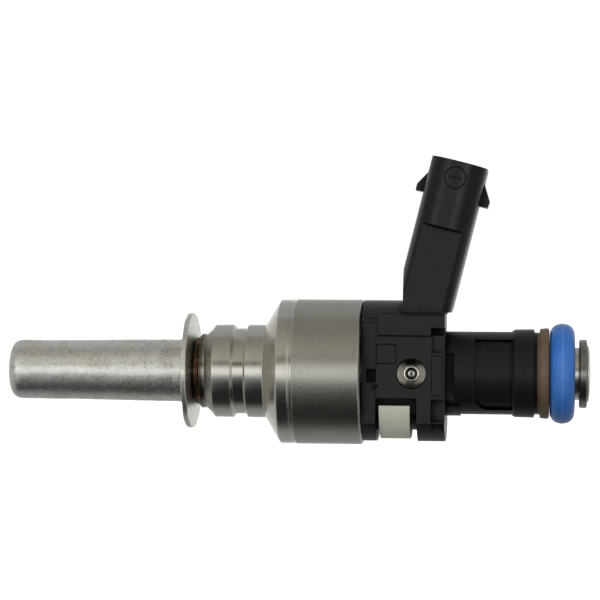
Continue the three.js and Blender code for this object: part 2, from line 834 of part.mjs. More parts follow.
// Outer moulding: block, leaning neck and connector shroud.
function connectorHousing() {
  const far = 40;
  const left = blockFront + neckFront;
  const shroud = roundedRectangle(neckThickness, neckWidth, neckCorner);
  const neck = solid(neckPrism(shroud, 0, 24)).intersect(
    solid(box(left, left + far, -far, far, neckFoot, far)),
  );
  const panel = solid(
    neckPrism(roundedRectangle(12, 4, 0.1).clone(), panelDrop, 30).translate(
      0,
      -neckWidth / 2 - 2 + panelDepth,
      0,
    ),
  );
  const socket = solid(
    neckPrism(
      roundedRectangle(neckThickness - 2 * socketWall, neckWidth - 2 * socketWall, socketCorner),
      -1,
      socketDepth,
    ),
  );
  const base = solid(
    box(left, blockRear, -blockHalfWidth + 0.3, blockHalfWidth - 0.3, 6, neckFoot + 0.4),
  );
  const block = solid(alongX(blockOutline(), blockFront, blockRear));
  const trimTop = solid(
    box(blockRear - ribWidth + 0.6, blockRear + 1, -far, far, neckFoot - 0.4, far),
  );
  const bars = [-1, 1].map((side) => {
    const inner = side * (blockHalfWidth - 1);
    const outer = side * (blockHalfWidth + barDepth);
    const y = [Math.min(inner, outer), Math.max(inner, outer)];
    return solid(box(blockFront + barStart, blockRear, y[0], y[1], barBottom, barTop));
  });
  let made = block.subtract(trimTop).add(neck.subtract(panel)).add(base);
  for (const bar of bars) made = made.add(bar);
  for (const side of [-1, 1]) made = made.add(latchNose(side));
  made = made.subtract(socket);

  // Room for the inner moulding, the inlet tube, the pole piece and the terminals.
  const core = solid(rod(blockFront - 1, coreRear + faceGap, coreRadius + fitGap, fine)).intersect(
    solid(
      box(blockFront - 1, coreRear + 1, -coreHalfWidth - fitGap, coreHalfWidth + fitGap, -far, far),
    ),
  );
  made = made.subtract(core);
  made = made.subtract(solid(rod(coreRear - 1, blockRear + 1, barrelRadius + fitGap, fine)));
  made = made.subtract(terminal(-1, faceGap)).subtract(terminal(1, faceGap));

  // The clip's window, open below and at both flats.
  const windowFront = blockFront + windowStart;
  made = made.subtract(
    solid(box(windowFront, windowFront + windowLength, -far, far, -far, windowTop)),
  );

  // Recesses in both faces of the rear rib, and the front flat's pockets.
  const ribFront = blockRear - ribWidth;
  const recessBands = [
    [3.3, barBottom + 0.8],
    [-6.9, -3.7],
  ];
  for (const side of [-1, 1]) {
    const depth = side * (blockHalfWidth - ribRecess);
    const out = side * (blockHalfWidth + 2);
    const y = [Math.min(depth, out), Math.max(depth, out)];
    for (const [low, high] of recessBands)
      made = made.subtract(solid(box(ribFront, blockRear + 1, y[0], y[1], low, high)));
  }
  const flat = -blockHalfWidth;
  const pocket = box(blockFront + 0.25, blockFront + 1.85, flat - 1, flat + 0.7, -1.2, 0.75);
  const stamp = box(blockFront + 1.75, blockFront + 4.6, flat - 1, flat + 0.15, 1.3, 4.2);
  made = made.subtract(solid(pocket)).subtract(solid(stamp));
  for (const side of [-1, 1]) made = made.subtract(lockPinSolid(side, fitGap));
  return geometryOf(made);
}

// C-shaped clip in the window, around the lower half of the core.
function locatingClip() {
  const outer = clipInner + clipThickness;
  const shape = new THREE.Shape();
  shape.absarc(0, 0, outer, -clipAngle, -Math.PI + clipAngle, true);
  shape.absarc(0, 0, clipInner, -Math.PI + clipAngle, -clipAngle, false);
  return alongX(shape, clipFront, clipFront + clipLength, 14);
}

// ---- Inlet end ----------------------------------------------------------------------------------

// Tube from the pole piece to the inlet. Its lip is rolled over the end plate.
function inletTube() {
  return turned(
    [
      [tubeFront, tubeBore],
      [tubeFront, neckRadius],
      [plateFront - faceGap, neckRadius],
      [plateFront - faceGap, plateSeatRadius],
      [plateRear + faceGap, plateSeatRadius],
      [plateRear + faceGap, lipRadius],
      [lipEnd - 0.2, lipRadius - 0.15],
      [lipEnd, lipRadius - 0.45],
      [lipEnd, tubeBore + 0.15],
      [lipEnd - 0.25, tubeBore],
    ],
    medium,
  );
}

function backupRing() {
  return turned(
    [
      [backupFront, neckRadius + fitGap],
      [backupFront, barrelNoseRadius - 0.1],
      [backupFront + 0.35, barrelNoseRadius - 0.1],
      [backupFront + 0.35, backupRadius - 0.1],
      [backupRear - 0.2, backupRadius],
      [backupRear, backupRadius - 0.15],
      [backupRear, neckRadius + fitGap],
    ],
    fine,
  );
}

// Rubber ring with an oval section.
function upperORing() {
  const middle = neckRadius + faceGap + ringThickness / 2;
  const section = [];
  const sides = 12;
  for (let i = 0; i < sides; i++) {
    const a = (2 * Math.PI * i) / sides;
    section.push([
      ringCentre + (ringWidth / 2) * Math.cos(a),
      middle + (ringThickness / 2) * Math.sin(a),
    ]);
  }
  return turned(section, fine);
}

function endPlate() {
  return turned(
    [
      [plateFront, plateSeatRadius + faceGap],
      [plateFront, plateRadius - 0.15],
      [plateFront + 0.15, plateRadius],
      [plateRear - 0.1, plateRadius],
      [plateRear, plateRadius - 0.1],
      [plateRear, plateSeatRadius + faceGap],
    ],
    fine,
  );
}

// Cage of the inlet filter: a rim, ribs and a closed end.
function filterCage() {
  const outer = tubeBore - fitGap;
  const inner = outer - 2 * filterWall;
  const front = filterRear - filterLength;
  let cage = solid(ring(filterRear - filterRimLength, filterRear, inner, outer, coarse));
  cage = cage.add(solid(rod(front, front + 1, inner, coarse)));
  for (let i = 0; i < filterRibs; i++) {
    const rib = box(
      front + 0.5,
      filterRear - 0.5,
      inner - filterWall,
      inner + 0.9 * filterWall,
      -filterRibWidth / 2,
      filterRibWidth / 2,
    );
    cage = cage.add(solid(rib.rotateX((2 * Math.PI * i) / filterRibs)));
  }
  return geometryOf(cage);
}

// Fine mesh sleeve inside the cage's ribs.
function filterMesh() {
  const outer = tubeBore - fitGap - 3 * filterWall - faceGap;
  const front = filterRear - filterLength + 1 + faceGap;
  return ring(front, filterRear - 0.3, outer - meshThickness, outer, coarse);
}

// ---- Assembly -----------------------------------------------------------------------------------

add("protective_cap", protectiveCap(), drawnAluminium);
add("nozzle_tube", nozzleTube(), polishedSteel);
add("combustion_seal", combustionSeal(), whitePolymer);
add("valve_seat", valveSeat(), polishedSteel);
add("guide_disc", guideDisc(), springSteel);
add("valve_ball", valveBall(), springSteel);
add("needle_stem", needleStem(), springSteel);
add("needle_guide", needleGuide(), springSteel);
add("lower_body", lowerBody(), polishedSteel);
add("coil_shell", coilShell(), satinSteel);
add("nonmagnetic_sleeve", nonmagneticSleeve(), springSteel);
add("armature", armature(), magneticSteel);
add("closing_spring", closingSpring(), springSteel);
add("pole_piece", polePiece(), magneticSteel);
add("adjusting_sleeve", adjustingSleeve(), springSteel);
add("coil_bobbin", coilBobbin(), bobbinPlastic);
add("coil_winding", coilWinding(), copper);
add("flux_washer", fluxWasher(), magneticSteel);
add("terminal_front", geometryOf(terminal(-1)), tinnedCopper);
add("terminal_rear", geometryOf(terminal(1)), tinnedCopper);
add("inlet_barrel", inletBarrel(), blackPlastic);
add("connector_housing", connectorHousing(), blackPlastic);
add("lock_pin_front", geometryOf(lockPinSolid(-1)), polishedSteel);
add("lock_pin_rear", geometryOf(lockPinSolid(1)), polishedSteel);
add("locating_clip", locatingClip(), greyPlastic);
add("inlet_tube", inletTube(), polishedSteel);
add("backup_ring", backupRing(), brownPolymer);
add("upper_o_ring", upperORing(), blueRubber);
add("end_plate", endPlate(), satinSteel);
add("filter_cage", filterCage(), whitePolymer);
add("filter_mesh", filterMesh(), springSteel);

export default injector;
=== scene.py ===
"""A solenoid fuel injector for direct injection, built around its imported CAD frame.

The injector lies along X with its nozzle to -X, its fuel inlet to +X and its connector up. Lengths in
this script are in millimetres and become metres where a mesh is made.
"""

import json
import math

import bmesh
import bpy
from mathutils import Matrix, Vector, noise


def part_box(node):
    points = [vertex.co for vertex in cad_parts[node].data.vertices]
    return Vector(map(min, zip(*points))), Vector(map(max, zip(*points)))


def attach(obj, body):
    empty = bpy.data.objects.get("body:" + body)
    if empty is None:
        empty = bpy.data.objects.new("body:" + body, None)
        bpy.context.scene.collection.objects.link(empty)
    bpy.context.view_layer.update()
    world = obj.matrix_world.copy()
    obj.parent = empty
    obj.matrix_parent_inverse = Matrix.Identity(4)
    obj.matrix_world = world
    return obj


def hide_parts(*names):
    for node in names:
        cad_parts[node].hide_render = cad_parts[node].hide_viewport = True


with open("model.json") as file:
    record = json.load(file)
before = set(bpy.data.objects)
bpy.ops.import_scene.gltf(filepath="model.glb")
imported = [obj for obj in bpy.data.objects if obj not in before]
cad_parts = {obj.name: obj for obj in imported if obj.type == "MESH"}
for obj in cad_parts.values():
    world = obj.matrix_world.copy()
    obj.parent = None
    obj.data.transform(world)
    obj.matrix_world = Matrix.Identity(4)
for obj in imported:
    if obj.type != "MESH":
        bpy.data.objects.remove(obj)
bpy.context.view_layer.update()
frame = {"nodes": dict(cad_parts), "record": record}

MM = 0.001
scene = bpy.context.scene

# ---- Camera ----

CAMERA_DISTANCE = 366.3
CAMERA_TARGET_X = 2.55  # the point on the axis that the camera faces
CAMERA_HEIGHT = 10.5
CAMERA_YAW = math.radians(5.3)
CAMERA_ROLL = math.radians(0.35)
CAMERA_LENS = 149.4
FLOOR_Z = -60.0


def added(name, data):
    """A new object in the scene."""
    made = bpy.data.objects.new(name, data)
    scene.collection.objects.link(made)
    return made


def make_camera():
    data = bpy.data.cameras.new("camera")
    data.lens = CAMERA_LENS
    data.sensor_width = 36.0
    data.clip_start = 0.01
    camera = added("camera", data)
    x = CAMERA_TARGET_X + CAMERA_DISTANCE * math.sin(CAMERA_YAW)
    y = -CAMERA_DISTANCE * math.cos(CAMERA_YAW)
    place = Vector((x, y, CAMERA_HEIGHT))
    turn = (
        Matrix.Rotation(CAMERA_YAW, 4, "Z")
        @ Matrix.Rotation(math.pi / 2, 4, "X")
        @ Matrix.Rotation(CAMERA_ROLL, 4, "Z")
    )
    camera.matrix_world = Matrix.Translation(place * MM) @ turn
    scene.camera = camera


make_camera()

# ---- Mesh helpers ----

SIDES = 192  # sides of a large turned piece
SHARP = math.radians(38)


def span(node):
    """The lowest and highest X of a CAD node."""
    low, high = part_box(node)
    return low.x / MM, high.x / MM


def outline(points, steps=5):
    """A closed outline from (x, r) or (x, r, corner radius) points, with its corners rounded."""
    made = []
    count = len(points)
    for i, point in enumerate(points):
        here = Vector(point[:2])
        size = point[2] if len(point) > 2 else 0
        before = Vector(points[i - 1][:2]) - here
        after = Vector(points[(i + 1) % count][:2]) - here
        if size <= 0 or before.length < 1e-6 or after.length < 1e-6:
            made.append(here)
            continue
        half = before.angle(after) / 2
        reach = size / max(math.tan(half), 1e-4)
        reach = min(reach, 0.49 * before.length, 0.49 * after.length)
        start = here + before.normalized() * reach
        end = here + after.normalized() * reach
        for k in range(steps + 1):
            t = k / steps
            made.append(start * (1 - t) ** 2 + here * 2 * t * (1 - t) + end * t**2)
    return made


def new_object(name, bm, shade=True):
    bmesh.ops.remove_doubles(bm, verts=bm.verts, dist=1e-6)
    bmesh.ops.recalc_face_normals(bm, faces=bm.faces)
    mesh = bpy.data.meshes.new(name)
    bm.to_mesh(mesh)
    bm.free()
    made = added(name, mesh)
    if shade:
        smooth(made)
    return made


def smooth(made, angle=SHARP):
    made.data.polygons.foreach_set("use_smooth", [True] * len(made.data.polygons))
    made.data.set_sharp_from_angle(angle=angle)


def divided(rim, longest):
    """The outline with its long stretches split, so that a shape function can bend them."""
    made = []
    for here, after in zip(rim, rim[1:] + rim[:1]):
        parts = max(1, math.ceil((after - here).length / longest))
        made += [here.lerp(after, k / parts) for k in range(parts)]
    return made


def turned(name, points, sides=SIDES, shape=None, steps=5, longest=None):
    """A body turned about X. shape may move a point (x, r) at an angle about the axis."""
    rim = outline(points, steps)
    if longest:
        rim = divided(rim, longest)
    bm = bmesh.new()
    rings = []
    for k in range(sides):
        angle = 2 * math.pi * k / sides
        ring = []
        for x, r in rim:
            if shape:
                x, r = shape(x, r, angle)
            spot = (x * MM, r * math.sin(angle) * MM, r * math.cos(angle) * MM)
            ring.append(bm.verts.new(spot))
        rings.append(ring)
    for k in range(sides):
        ring, following = rings[k], rings[(k + 1) % sides]
        for i in range(len(rim)):
            j = (i + 1) % len(rim)
            if rim[i].y == 0 and rim[j].y == 0:
                continue
            bm.faces.new((ring[i], ring[j], following[j], following[i]))
    bmesh.ops.remove_doubles(bm, verts=bm.verts, dist=1e-7)
    return new_object(name, bm)


def lofted(name, rows, shade=True):
    """A closed body through rows of points in mm, with flat ends."""
    bm = bmesh.new()
    rings = [[bm.verts.new(Vector(point) * MM) for point in row] for row in rows]
    bm.faces.new(rings[0][::-1])
    bm.faces.new(rings[-1])
    for ring, following in zip(rings, rings[1:]):
        for i in range(len(ring)):
            j = (i + 1) % len(ring)
            bm.faces.new((ring[i], ring[j], following[j], following[i]))
    return new_object(name, bm, shade)


def prism(name, points, start, end, placing):
    """An outline extruded from start to end. placing turns (u, v, depth) into a place in mm."""
    rows = [[placing(u, v, depth) for u, v in points] for depth in (start, end)]
    return lofted(name, rows, shade=False)


def block(name, x, y, z):
    """A box from three (low, high) pairs."""
    corners = [(x[0], y[0]), (x[1], y[0]), (x[1], y[1]), (x[0], y[1])]
    return prism(name, corners, z[0], z[1], lambda u, v, w: (u, v, w))


def round_rectangle(width, height, corner, steps=8, centre=(0, 0)):
    """Points of a rectangle with round corners."""
    made = []
    for turn, (sx, sy) in enumerate([(1, -1), (1, 1), (-1, 1), (-1, -1)]):
        cx = centre[0] + sx * (width / 2 - corner)
        cy = centre[1] + sy * (height / 2 - corner)
        for k in range(steps + 1):
            angle = math.pi / 2 * (turn - 1 + k / steps)
            made.append((cx + corner * math.cos(angle), cy + corner * math.sin(angle)))
    return made


def circle(radius, sides=48, centre=(0, 0)):
    x, y = centre
    angles = [2 * math.pi * k / sides for k in range(sides)]
    return [(x + radius * math.cos(angle), y + radius * math.sin(angle)) for angle in angles]


def combine(target, others, operation):
    """Joins the others to the target, cuts them from it, or keeps what is common."""
    for other in others:
        step = target.modifiers.new("combine", "BOOLEAN")
        step.operation = operation
        step.solver = "EXACT"
        step.object = other
        apply_modifiers(target)
        bpy.data.objects.remove(other)
    return target


def apply_modifiers(made):
    bpy.context.view_layer.update()
    evaluated = made.evaluated_get(bpy.context.evaluated_depsgraph_get())
    mesh = bpy.data.meshes.new_from_object(evaluated)
    old = made.data
    made.modifiers.clear()
    made.data = mesh
    bpy.data.meshes.remove(old)


def tidy_cuts(made, merge=0.004):
    """Merges the slivers that cutting leaves and gives flat and round faces clean shading."""
    bm = bmesh.new()
    bm.from_mesh(made.data)
    bmesh.ops.remove_doubles(bm, verts=bm.verts, dist=merge * MM)
    bm.to_mesh(made.data)
    bm.free()
    smooth(made)
    step = made.modifiers.new("normals", "WEIGHTED_NORMAL")
    step.keep_sharp = True
    step.weight = 80
    apply_modifiers(made)


# ---- Material helpers ----


class Nodes:
    """Shader nodes of one tree and the links between them."""

    def __init__(self, tree):
        self.tree = tree
        self.tree.nodes.clear()

    def node(self, kind, values=None):
        """A new node with the inputs named in values set."""
        made = self.tree.nodes.new(kind)
        for name, value in (values or {}).items():
            self.feed(value, made.inputs[name])
        return made

    def link(self, source, target):
        self.tree.links.new(source, target)

    def feed(self, value, socket):
        """Sets a socket to a number or a colour, or links another node's output to it."""
        if isinstance(value, (int, float)):
            socket.default_value = value
        elif isinstance(value, tuple):
            socket.default_value = (*value, 1)
        else:
            self.link(value, socket)

    def range(self, source, low, high, to_low=0, to_high=1):
        """A value brought from one range to another and held inside it."""
        values = {"From Min": low, "From Max": high, "To Min": to_low, "To Max": to_high}
        return self.node("ShaderNodeMapRange", {"Value": source, **values}).outputs["Result"]

    def maths(self, operation, a, b=0.0):
        made = self.node("ShaderNodeMath", {0: a, 1: b})
        made.operation = operation
        return made.outputs["Value"]

    def apart(self, a, b=0.0):
        """The distance between two values."""
        return self.maths("ABSOLUTE", self.maths("SUBTRACT", a, b))

    def ramp(self, source, stops):
        """Colours at positions along a value from 0 to 1."""
        made = self.node("ShaderNodeValToRGB", {"Fac": source})
        elements = made.color_ramp.elements
        while len(elements) < len(stops):
            elements.new(0.5)
        for element, (position, colour) in zip(elements, stops):
            element.position = position
            element.color = (*colour, 1)
        return made.outputs["Color"]

    def mix(self, factor, first, second, blend="MIX"):
        made = self.node("ShaderNodeMix")
        made.data_type = "RGBA"
        made.blend_type = blend
        self.feed(factor, made.inputs[0])
        self.feed(first, made.inputs[6])
        self.feed(second, made.inputs[7])
        return made.outputs[2]


class Look(Nodes):
    """A Principled material with procedural inputs, in object coordinates."""

    def __init__(self, name, metallic=0.0, roughness=0.5, specular=0.5):
        self.material = bpy.data.materials.new(name)
        self.material.use_nodes = True
        super().__init__(self.material.node_tree)
        values = {"Metallic": metallic, "Roughness": roughness, "Specular IOR Level": specular}
        self.shader = self.node("ShaderNodeBsdfPrincipled", values)
        self.node("ShaderNodeOutputMaterial", {"Surface": self.shader.outputs["BSDF"]})
        self.place = self.node("ShaderNodeTexCoord").outputs["Object"]

    def noise(self, per_mm=1.0, detail=4.0, rough=0.5, stretch=(1, 1, 1), distortion=0.0):
        """Noise with so many features per millimetre, times stretch along each axis."""
        scaled = self.node("ShaderNodeMapping", {"Vector": self.place})
        scaled.inputs["Scale"].default_value = [per_mm * part / MM for part in stretch]
        values = {"Scale": 1.0, "Detail": detail, "Roughness": rough, "Distortion": distortion}
        values["Vector"] = scaled.outputs["Vector"]
        return self.node("ShaderNodeTexNoise", values).outputs["Fac"]

    def axis(self, name):
        """One coordinate in millimetres."""
        made = self.node("ShaderNodeSeparateXYZ", {"Vector": self.place})
        return self.maths("DIVIDE", made.outputs[name], MM)

    def colour(self, source):
        self.feed(source, self.shader.inputs["Base Color"])

    def roughness(self, source):
        self.link(source, self.shader.inputs["Roughness"])

    def specular(self, source):
        self.link(source, self.shader.inputs["Specular IOR Level"])

    def rounded(self, radius):
        """The normal of edges rounded to a radius in mm, and a mask of those edges."""
        bevel = self.node("ShaderNodeBevel", {"Radius": radius * MM})
        bevel.samples = 6
        normal = bevel.outputs["Normal"]
        plain = self.node("ShaderNodeNewGeometry").outputs["Normal"]
        dot = self.node("ShaderNodeVectorMath", {0: normal, 1: plain})
        dot.operation = "DOT_PRODUCT"
        return normal, self.range(dot.outputs["Value"], 0.88, 0.985, 1, 0)

    def openness(self, reach):
        """1 in the open and 0 in a corner or a recess that is small beside a reach in mm."""
        made = self.node("ShaderNodeAmbientOcclusion", {"Distance": reach * MM})
        made.samples = 8
        return made.outputs["AO"]

    def relief(self, *layers, normal=None):
        """Bump from (height, depth in mm) layers, one on top of another."""
        for height, depth in layers:
            values = {"Strength": 1.0, "Distance": depth * MM, "Height": height}
            made = self.node("ShaderNodeBump", values)
            if normal:
                self.link(normal, made.inputs["Normal"])
            normal = made.outputs["Normal"]
        self.link(normal, self.shader.inputs["Normal"])


# ---- Places that several pieces share ----

BLOCK_FRONT = span("connector_housing")[0]
BLOCK_REAR = BLOCK_FRONT + 11.95
FLAT = 7.2  # half the width between the block's two flats
PIN_X = BLOCK_FRONT + 7.15
PIN_HOLE_RADIUS = 2.2
TUBE_BORE = 2.5
TUBE_RADIUS = 3.82
BARREL_RADIUS = 6.05
GROOVE_X = -5.92  # middle of the ring groove in the shank
GROOVE_HALF = 0.76  # half the width of the groove's floor
TINT_FRONT, TINT_REAR = -12.8, -11.0  # heat colours of the welded end, with a painted highlight line among them
PAINTED_GLINT_X = -12.05  # painted highlight: orange glints among the heat colours
SEAM_X = 2.3  # rear edge of the bright ring at the coil shell's seam
RING_FRONT, RING_REAR = span("upper_o_ring")
RING_CENTRE = (RING_FRONT + RING_REAR) / 2

# ---- Materials ----


def drawn_aluminium():
    """Drawn sheet with a satin skin, fine scuffs, crazing, pits and dark stains, and painted shade in
    corners.
    """
    look = Look("drawn_aluminium", metallic=0.93, specular=0.3)
    cloud = look.noise(0.35, 6, 0.62, stretch=(0.6, 1, 1))
    grain = look.noise(2.6, 7, 0.72)
    stain = look.noise(0.8, 8, 0.75, distortion=0.6)
    crazing = look.noise(0.55, 9, 0.68, stretch=(0.8, 1, 1), distortion=2.2)
    base = look.ramp(cloud, [(0.3, (0.60, 0.60, 0.57)), (0.7, (0.80, 0.80, 0.78))])
    beige = look.range(look.noise(0.16, 2, 0.5), 0.5, 0.62, 0, 0.5)
    base = look.mix(beige, base, (0.66, 0.63, 0.53))
    scuffed = look.mix(look.range(grain, 0.4, 0.66, 0.0, 0.7), base, (0.97, 0.97, 0.95))
    lines = look.apart(crazing, 0.5)
    some = look.range(look.noise(0.5, 3, 0.6), 0.46, 0.6, 0, 1)
    dark_lines = look.maths("MULTIPLY", look.range(lines, 0.002, 0.016, 0.75, 0.0), some)
    worn = look.mix(dark_lines, scuffed, (0.12, 0.115, 0.11))
    pits = look.range(look.noise(2.1, 3, 0.6), 0.67, 0.73, 0, 0.5)
    worn = look.mix(pits, worn, (0.12, 0.115, 0.11))
    spots = look.range(stain, 0.56, 0.7, 0, 0.36)
    worn = look.mix(spots, worn, (0.22, 0.215, 0.2))
    # Painted shade: the colour darkens in corners and recesses, such as where the flange meets the
    # body.
    painted_shade = look.range(look.openness(1.2), 0.35, 0.75, 0.95, 0)
    look.colour(look.mix(painted_shade, worn, (0.05, 0.046, 0.04)))
    look.roughness(look.range(grain, 0.3, 0.7, 0.2, 0.4))
    look.relief((cloud, 0.03), (grain, 0.022), (stain, 0.02))
    return look.material


def polished_steel():
    """Turned and polished stainless steel, with the fine rings that the tool leaves."""
    look = Look("polished_steel", metallic=1.0)
    rings = look.noise(14, 3, 0.6, stretch=(1, 0.03, 0.03))
    cloud = look.noise(0.8, 5, 0.6)
    tone = look.mix(look.range(cloud, 0.35, 0.65, 0, 1), (0.60, 0.585, 0.54), (0.66, 0.65, 0.61))
    x = look.axis("X")
    patchy = look.maths("ADD", x, look.range(look.noise(1.2, 4, 0.6), 0.3, 0.7, -0.12, 0.12))
    # Heat colours; the lighter stop at 0.56 is a painted highlight, a bright line along an edge.
    tint = look.ramp(
        look.range(patchy, TINT_FRONT, TINT_REAR, 0, 1),
        [
            (0.0, (0.05, 0.042, 0.032)),
            (0.16, (0.09, 0.066, 0.042)),
            (0.36, (0.11, 0.074, 0.046)),
            (0.46, (0.075, 0.06, 0.042)),
            (0.56, (0.19, 0.16, 0.12)),
            (0.66, (0.13, 0.115, 0.09)),
            (1.0, (0.34, 0.32, 0.28)),
        ],
    )
    # Painted highlight: orange glints painted as patches of colour around the ring.
    painted_glint = look.maths(
        "MULTIPLY",
        look.range(look.noise(0.9, 4, 0.6), 0.53, 0.64, 0, 0.9),
        look.range(look.apart(patchy, PAINTED_GLINT_X), 0.1, 0.3, 1, 0),
    )
    tint = look.mix(painted_glint, tint, (0.55, 0.19, 0.08))
    look.colour(look.mix(look.range(patchy, TINT_REAR - 0.2, TINT_REAR + 0.7, 0, 1), tint, tone))
    turned_part = look.range(
        look.apart(x, GROOVE_X), GROOVE_HALF - 0.02, GROOVE_HALF + 0.04, 0, 1
    )
    rough = look.range(rings, 0.3, 0.7, 0.12, 0.22)
    look.roughness(look.maths("MULTIPLY", rough, look.range(turned_part, 0, 1, 0.35, 1.1)))
    look.relief((look.maths("MULTIPLY", rings, turned_part), 0.005))
    return look.material


def bright_steel():
    """Polished steel without heat colours."""
    look = Look("bright_steel", metallic=1.0)
    rings = look.noise(12, 3, 0.6, stretch=(1, 0.05, 0.05))
    look.colour(look.ramp(rings, [(0.3, (0.58, 0.57, 0.54)), (0.7, (0.68, 0.67, 0.64))]))
    look.roughness(look.range(rings, 0.3, 0.7, 0.14, 0.26))
    look.relief((rings, 0.003))
    return look.material


def satin_steel():
    """Grained stainless steel of the coil shell, with a bright turned ring at its seam."""
    look = Look("satin_steel", metallic=1.0)
    grain = look.noise(4.2, 3, 0.6)
    fine = look.noise(7.5, 2, 0.5)
    cloud = look.noise(0.25, 4, 0.5)
    base = look.mix(look.range(cloud, 0.35, 0.65, 0, 1), (0.39, 0.385, 0.35), (0.44, 0.435, 0.395))
    skin = look.mix(look.range(fine, 0.3, 0.7, 0, 1), base, (0.54, 0.532, 0.495))
    seam = look.range(look.axis("X"), SEAM_X - 0.02, SEAM_X + 0.04, 1, 0)
    look.colour(look.mix(seam, skin, (0.66, 0.65, 0.61)))
    rough = look.range(grain, 0.3, 0.7, 0.24, 0.36)
    look.roughness(look.maths("SUBTRACT", rough, look.maths("MULTIPLY", seam, 0.14)))
    look.relief((grain, 0.010), (fine, 0.008))
    return look.material


def tool_steel(name, colour, roughness):
    """Ground steel of the pieces inside."""
    look = Look(name, metallic=1.0)
    rings = look.noise(9, 4, 0.6, stretch=(1, 0.08, 0.08))
    darker = tuple(0.8 * c for c in colour)
    look.colour(look.mix(rings, darker, colour))
    look.roughness(look.range(rings, 0.3, 0.7, roughness * 0.75, roughness * 1.25))
    look.relief((rings, 0.004))
    return look.material


def pin_steel(centre):
    """Painted highlights and painted shade on the head: bright rings around a dark eye, and dark
    crescents at the dish's top and bottom.
    """
    look = Look("pin_steel", metallic=1.0)
    cloud = look.noise(1.5, 4, 0.6)
    across = look.maths("SUBTRACT", look.axis("X"), centre)
    height = look.axis("Z")
    square = look.maths(
        "ADD", look.maths("MULTIPLY", across, across), look.maths("MULTIPLY", height, height)
    )
    radius = look.maths("SQRT", square)
    # The bright and dark colours of the rings are painted highlights and painted shade.
    bright = (0.85, 0.84, 0.8)
    dark = (0.035, 0.033, 0.03)
    rings = look.ramp(
        look.range(radius, 0, 2.2, 0, 1),
        [
            (0.0, (0.10, 0.095, 0.09)),
            (0.12, (0.14, 0.135, 0.125)),
            (0.17, bright),
            (0.23, bright),
            (0.27, dark),
            (0.39, dark),
            (0.43, bright),
            (0.49, bright),
            (0.53, (0.40, 0.39, 0.36)),
            (0.84, (0.52, 0.51, 0.47)),
            (0.92, (0.34, 0.33, 0.31)),
            (0.96, (0.06, 0.058, 0.054)),
        ],
    )
    # Painted shade: dark crescents at the top and bottom of the dish.
    off = look.maths("ADD", look.maths("ABSOLUTE", height), look.range(cloud, 0.3, 0.7, -0.15, 0.15))
    painted_crescents = look.range(off, 0.95, 1.5, 0, 0.95)
    look.colour(look.mix(painted_crescents, rings, (0.03, 0.028, 0.025)))
    look.roughness(look.range(cloud, 0.3, 0.7, 0.12, 0.22))
    look.relief((look.noise(6, 3, 0.6), 0.006))
    return look.material


def black_plastic():
    """Glass-filled nylon: satin black, moulded grain, pale specks of fibre, edges painted lighter
    (partly wear, partly painted highlight) and painted shade in recesses.
    """
    look = Look("black_plastic")
    grain = look.noise(7, 4, 0.7)
    mottle = look.noise(1.4, 5, 0.6)
    fibres = look.noise(5, 2, 0.5, stretch=(3, 1, 0.4))
    dots = look.range(look.noise(4.2, 2, 0.5), 0.67, 0.74, 0, 0.25)
    normal, edges = look.rounded(0.14)
    open_air = look.openness(1.6)
    tone = look.ramp(mottle, [(0.3, (0.0062, 0.0057, 0.0052)), (0.7, (0.0104, 0.0098, 0.0090))])
    tone = look.mix(look.range(fibres, 0.62, 0.8, 0, 0.3), tone, (0.045, 0.044, 0.041))
    tone = look.mix(dots, tone, (0.09, 0.088, 0.084))
    # Edges painted lighter: partly edge wear, partly a painted highlight.
    tone = look.mix(look.maths("MULTIPLY", edges, 0.4), tone, (0.06, 0.058, 0.055))
    # Painted shade: the colour goes darker in recesses and corners; the specular level below drops
    # there too.
    look.colour(look.mix(look.range(open_air, 0.35, 0.85, 0.85, 0), tone, (0.002, 0.002, 0.002)))
    look.roughness(look.range(grain, 0.3, 0.7, 0.25, 0.4))
    look.specular(look.range(open_air, 0.4, 0.9, 0.03, 0.22))
    look.relief((grain, 0.022), (mottle, 0.015), normal=normal)
    return look.material


def grey_plastic():
    """Light grey clip: smooth, slightly translucent-looking moulding."""
    look = Look("grey_plastic", roughness=0.5, specular=0.4)
    mottle = look.noise(0.7, 4, 0.55)
    grain = look.noise(12, 3, 0.6)
    look.colour(look.ramp(mottle, [(0.3, (0.64, 0.64, 0.55)), (0.7, (0.71, 0.71, 0.62))]))
    look.roughness(look.range(grain, 0.3, 0.7, 0.42, 0.58))
    look.relief((grain, 0.006), (mottle, 0.02))
    return look.material


def blue_rubber(centre):
    """Blue fluorocarbon ring with a faint mould seam around its outside."""
    look = Look("blue_rubber", specular=0.5)
    mottle = look.noise(1.1, 4, 0.55)
    grain = look.noise(10, 3, 0.6)
    x = look.axis("X")
    off = look.apart(x, centre)
    wander = look.range(look.noise(2.5, 3, 0.6), 0.3, 0.7, -0.03, 0.03)
    seam = look.range(look.maths("ADD", off, wander), 0.04, 0.11, 1, 0)
    tone = look.ramp(mottle, [(0.3, (0.026, 0.138, 0.47)), (0.7, (0.034, 0.156, 0.52))])
    look.colour(look.mix(look.maths("MULTIPLY", seam, 0.35), tone, (0.20, 0.36, 0.72)))
    look.roughness(look.range(mottle, 0.3, 0.7, 0.3, 0.38))
    look.relief((seam, 0.012), (grain, 0.0008), (mottle, 0.004))
    return look.material


def brown_polymer():
    """Filled fluoropolymer of the backup ring."""
    look = Look("brown_polymer", specular=0.4)
    rings = look.noise(7, 3, 0.6, stretch=(1, 0.06, 0.06))
    mottle = look.noise(1.8, 5, 0.6)
    look.colour(look.ramp(mottle, [(0.3, (0.082, 0.057, 0.034)), (0.7, (0.135, 0.094, 0.058))]))
    look.roughness(look.range(rings, 0.3, 0.7, 0.38, 0.55))
    look.relief((rings, 0.01), (mottle, 0.02))
    return look.material


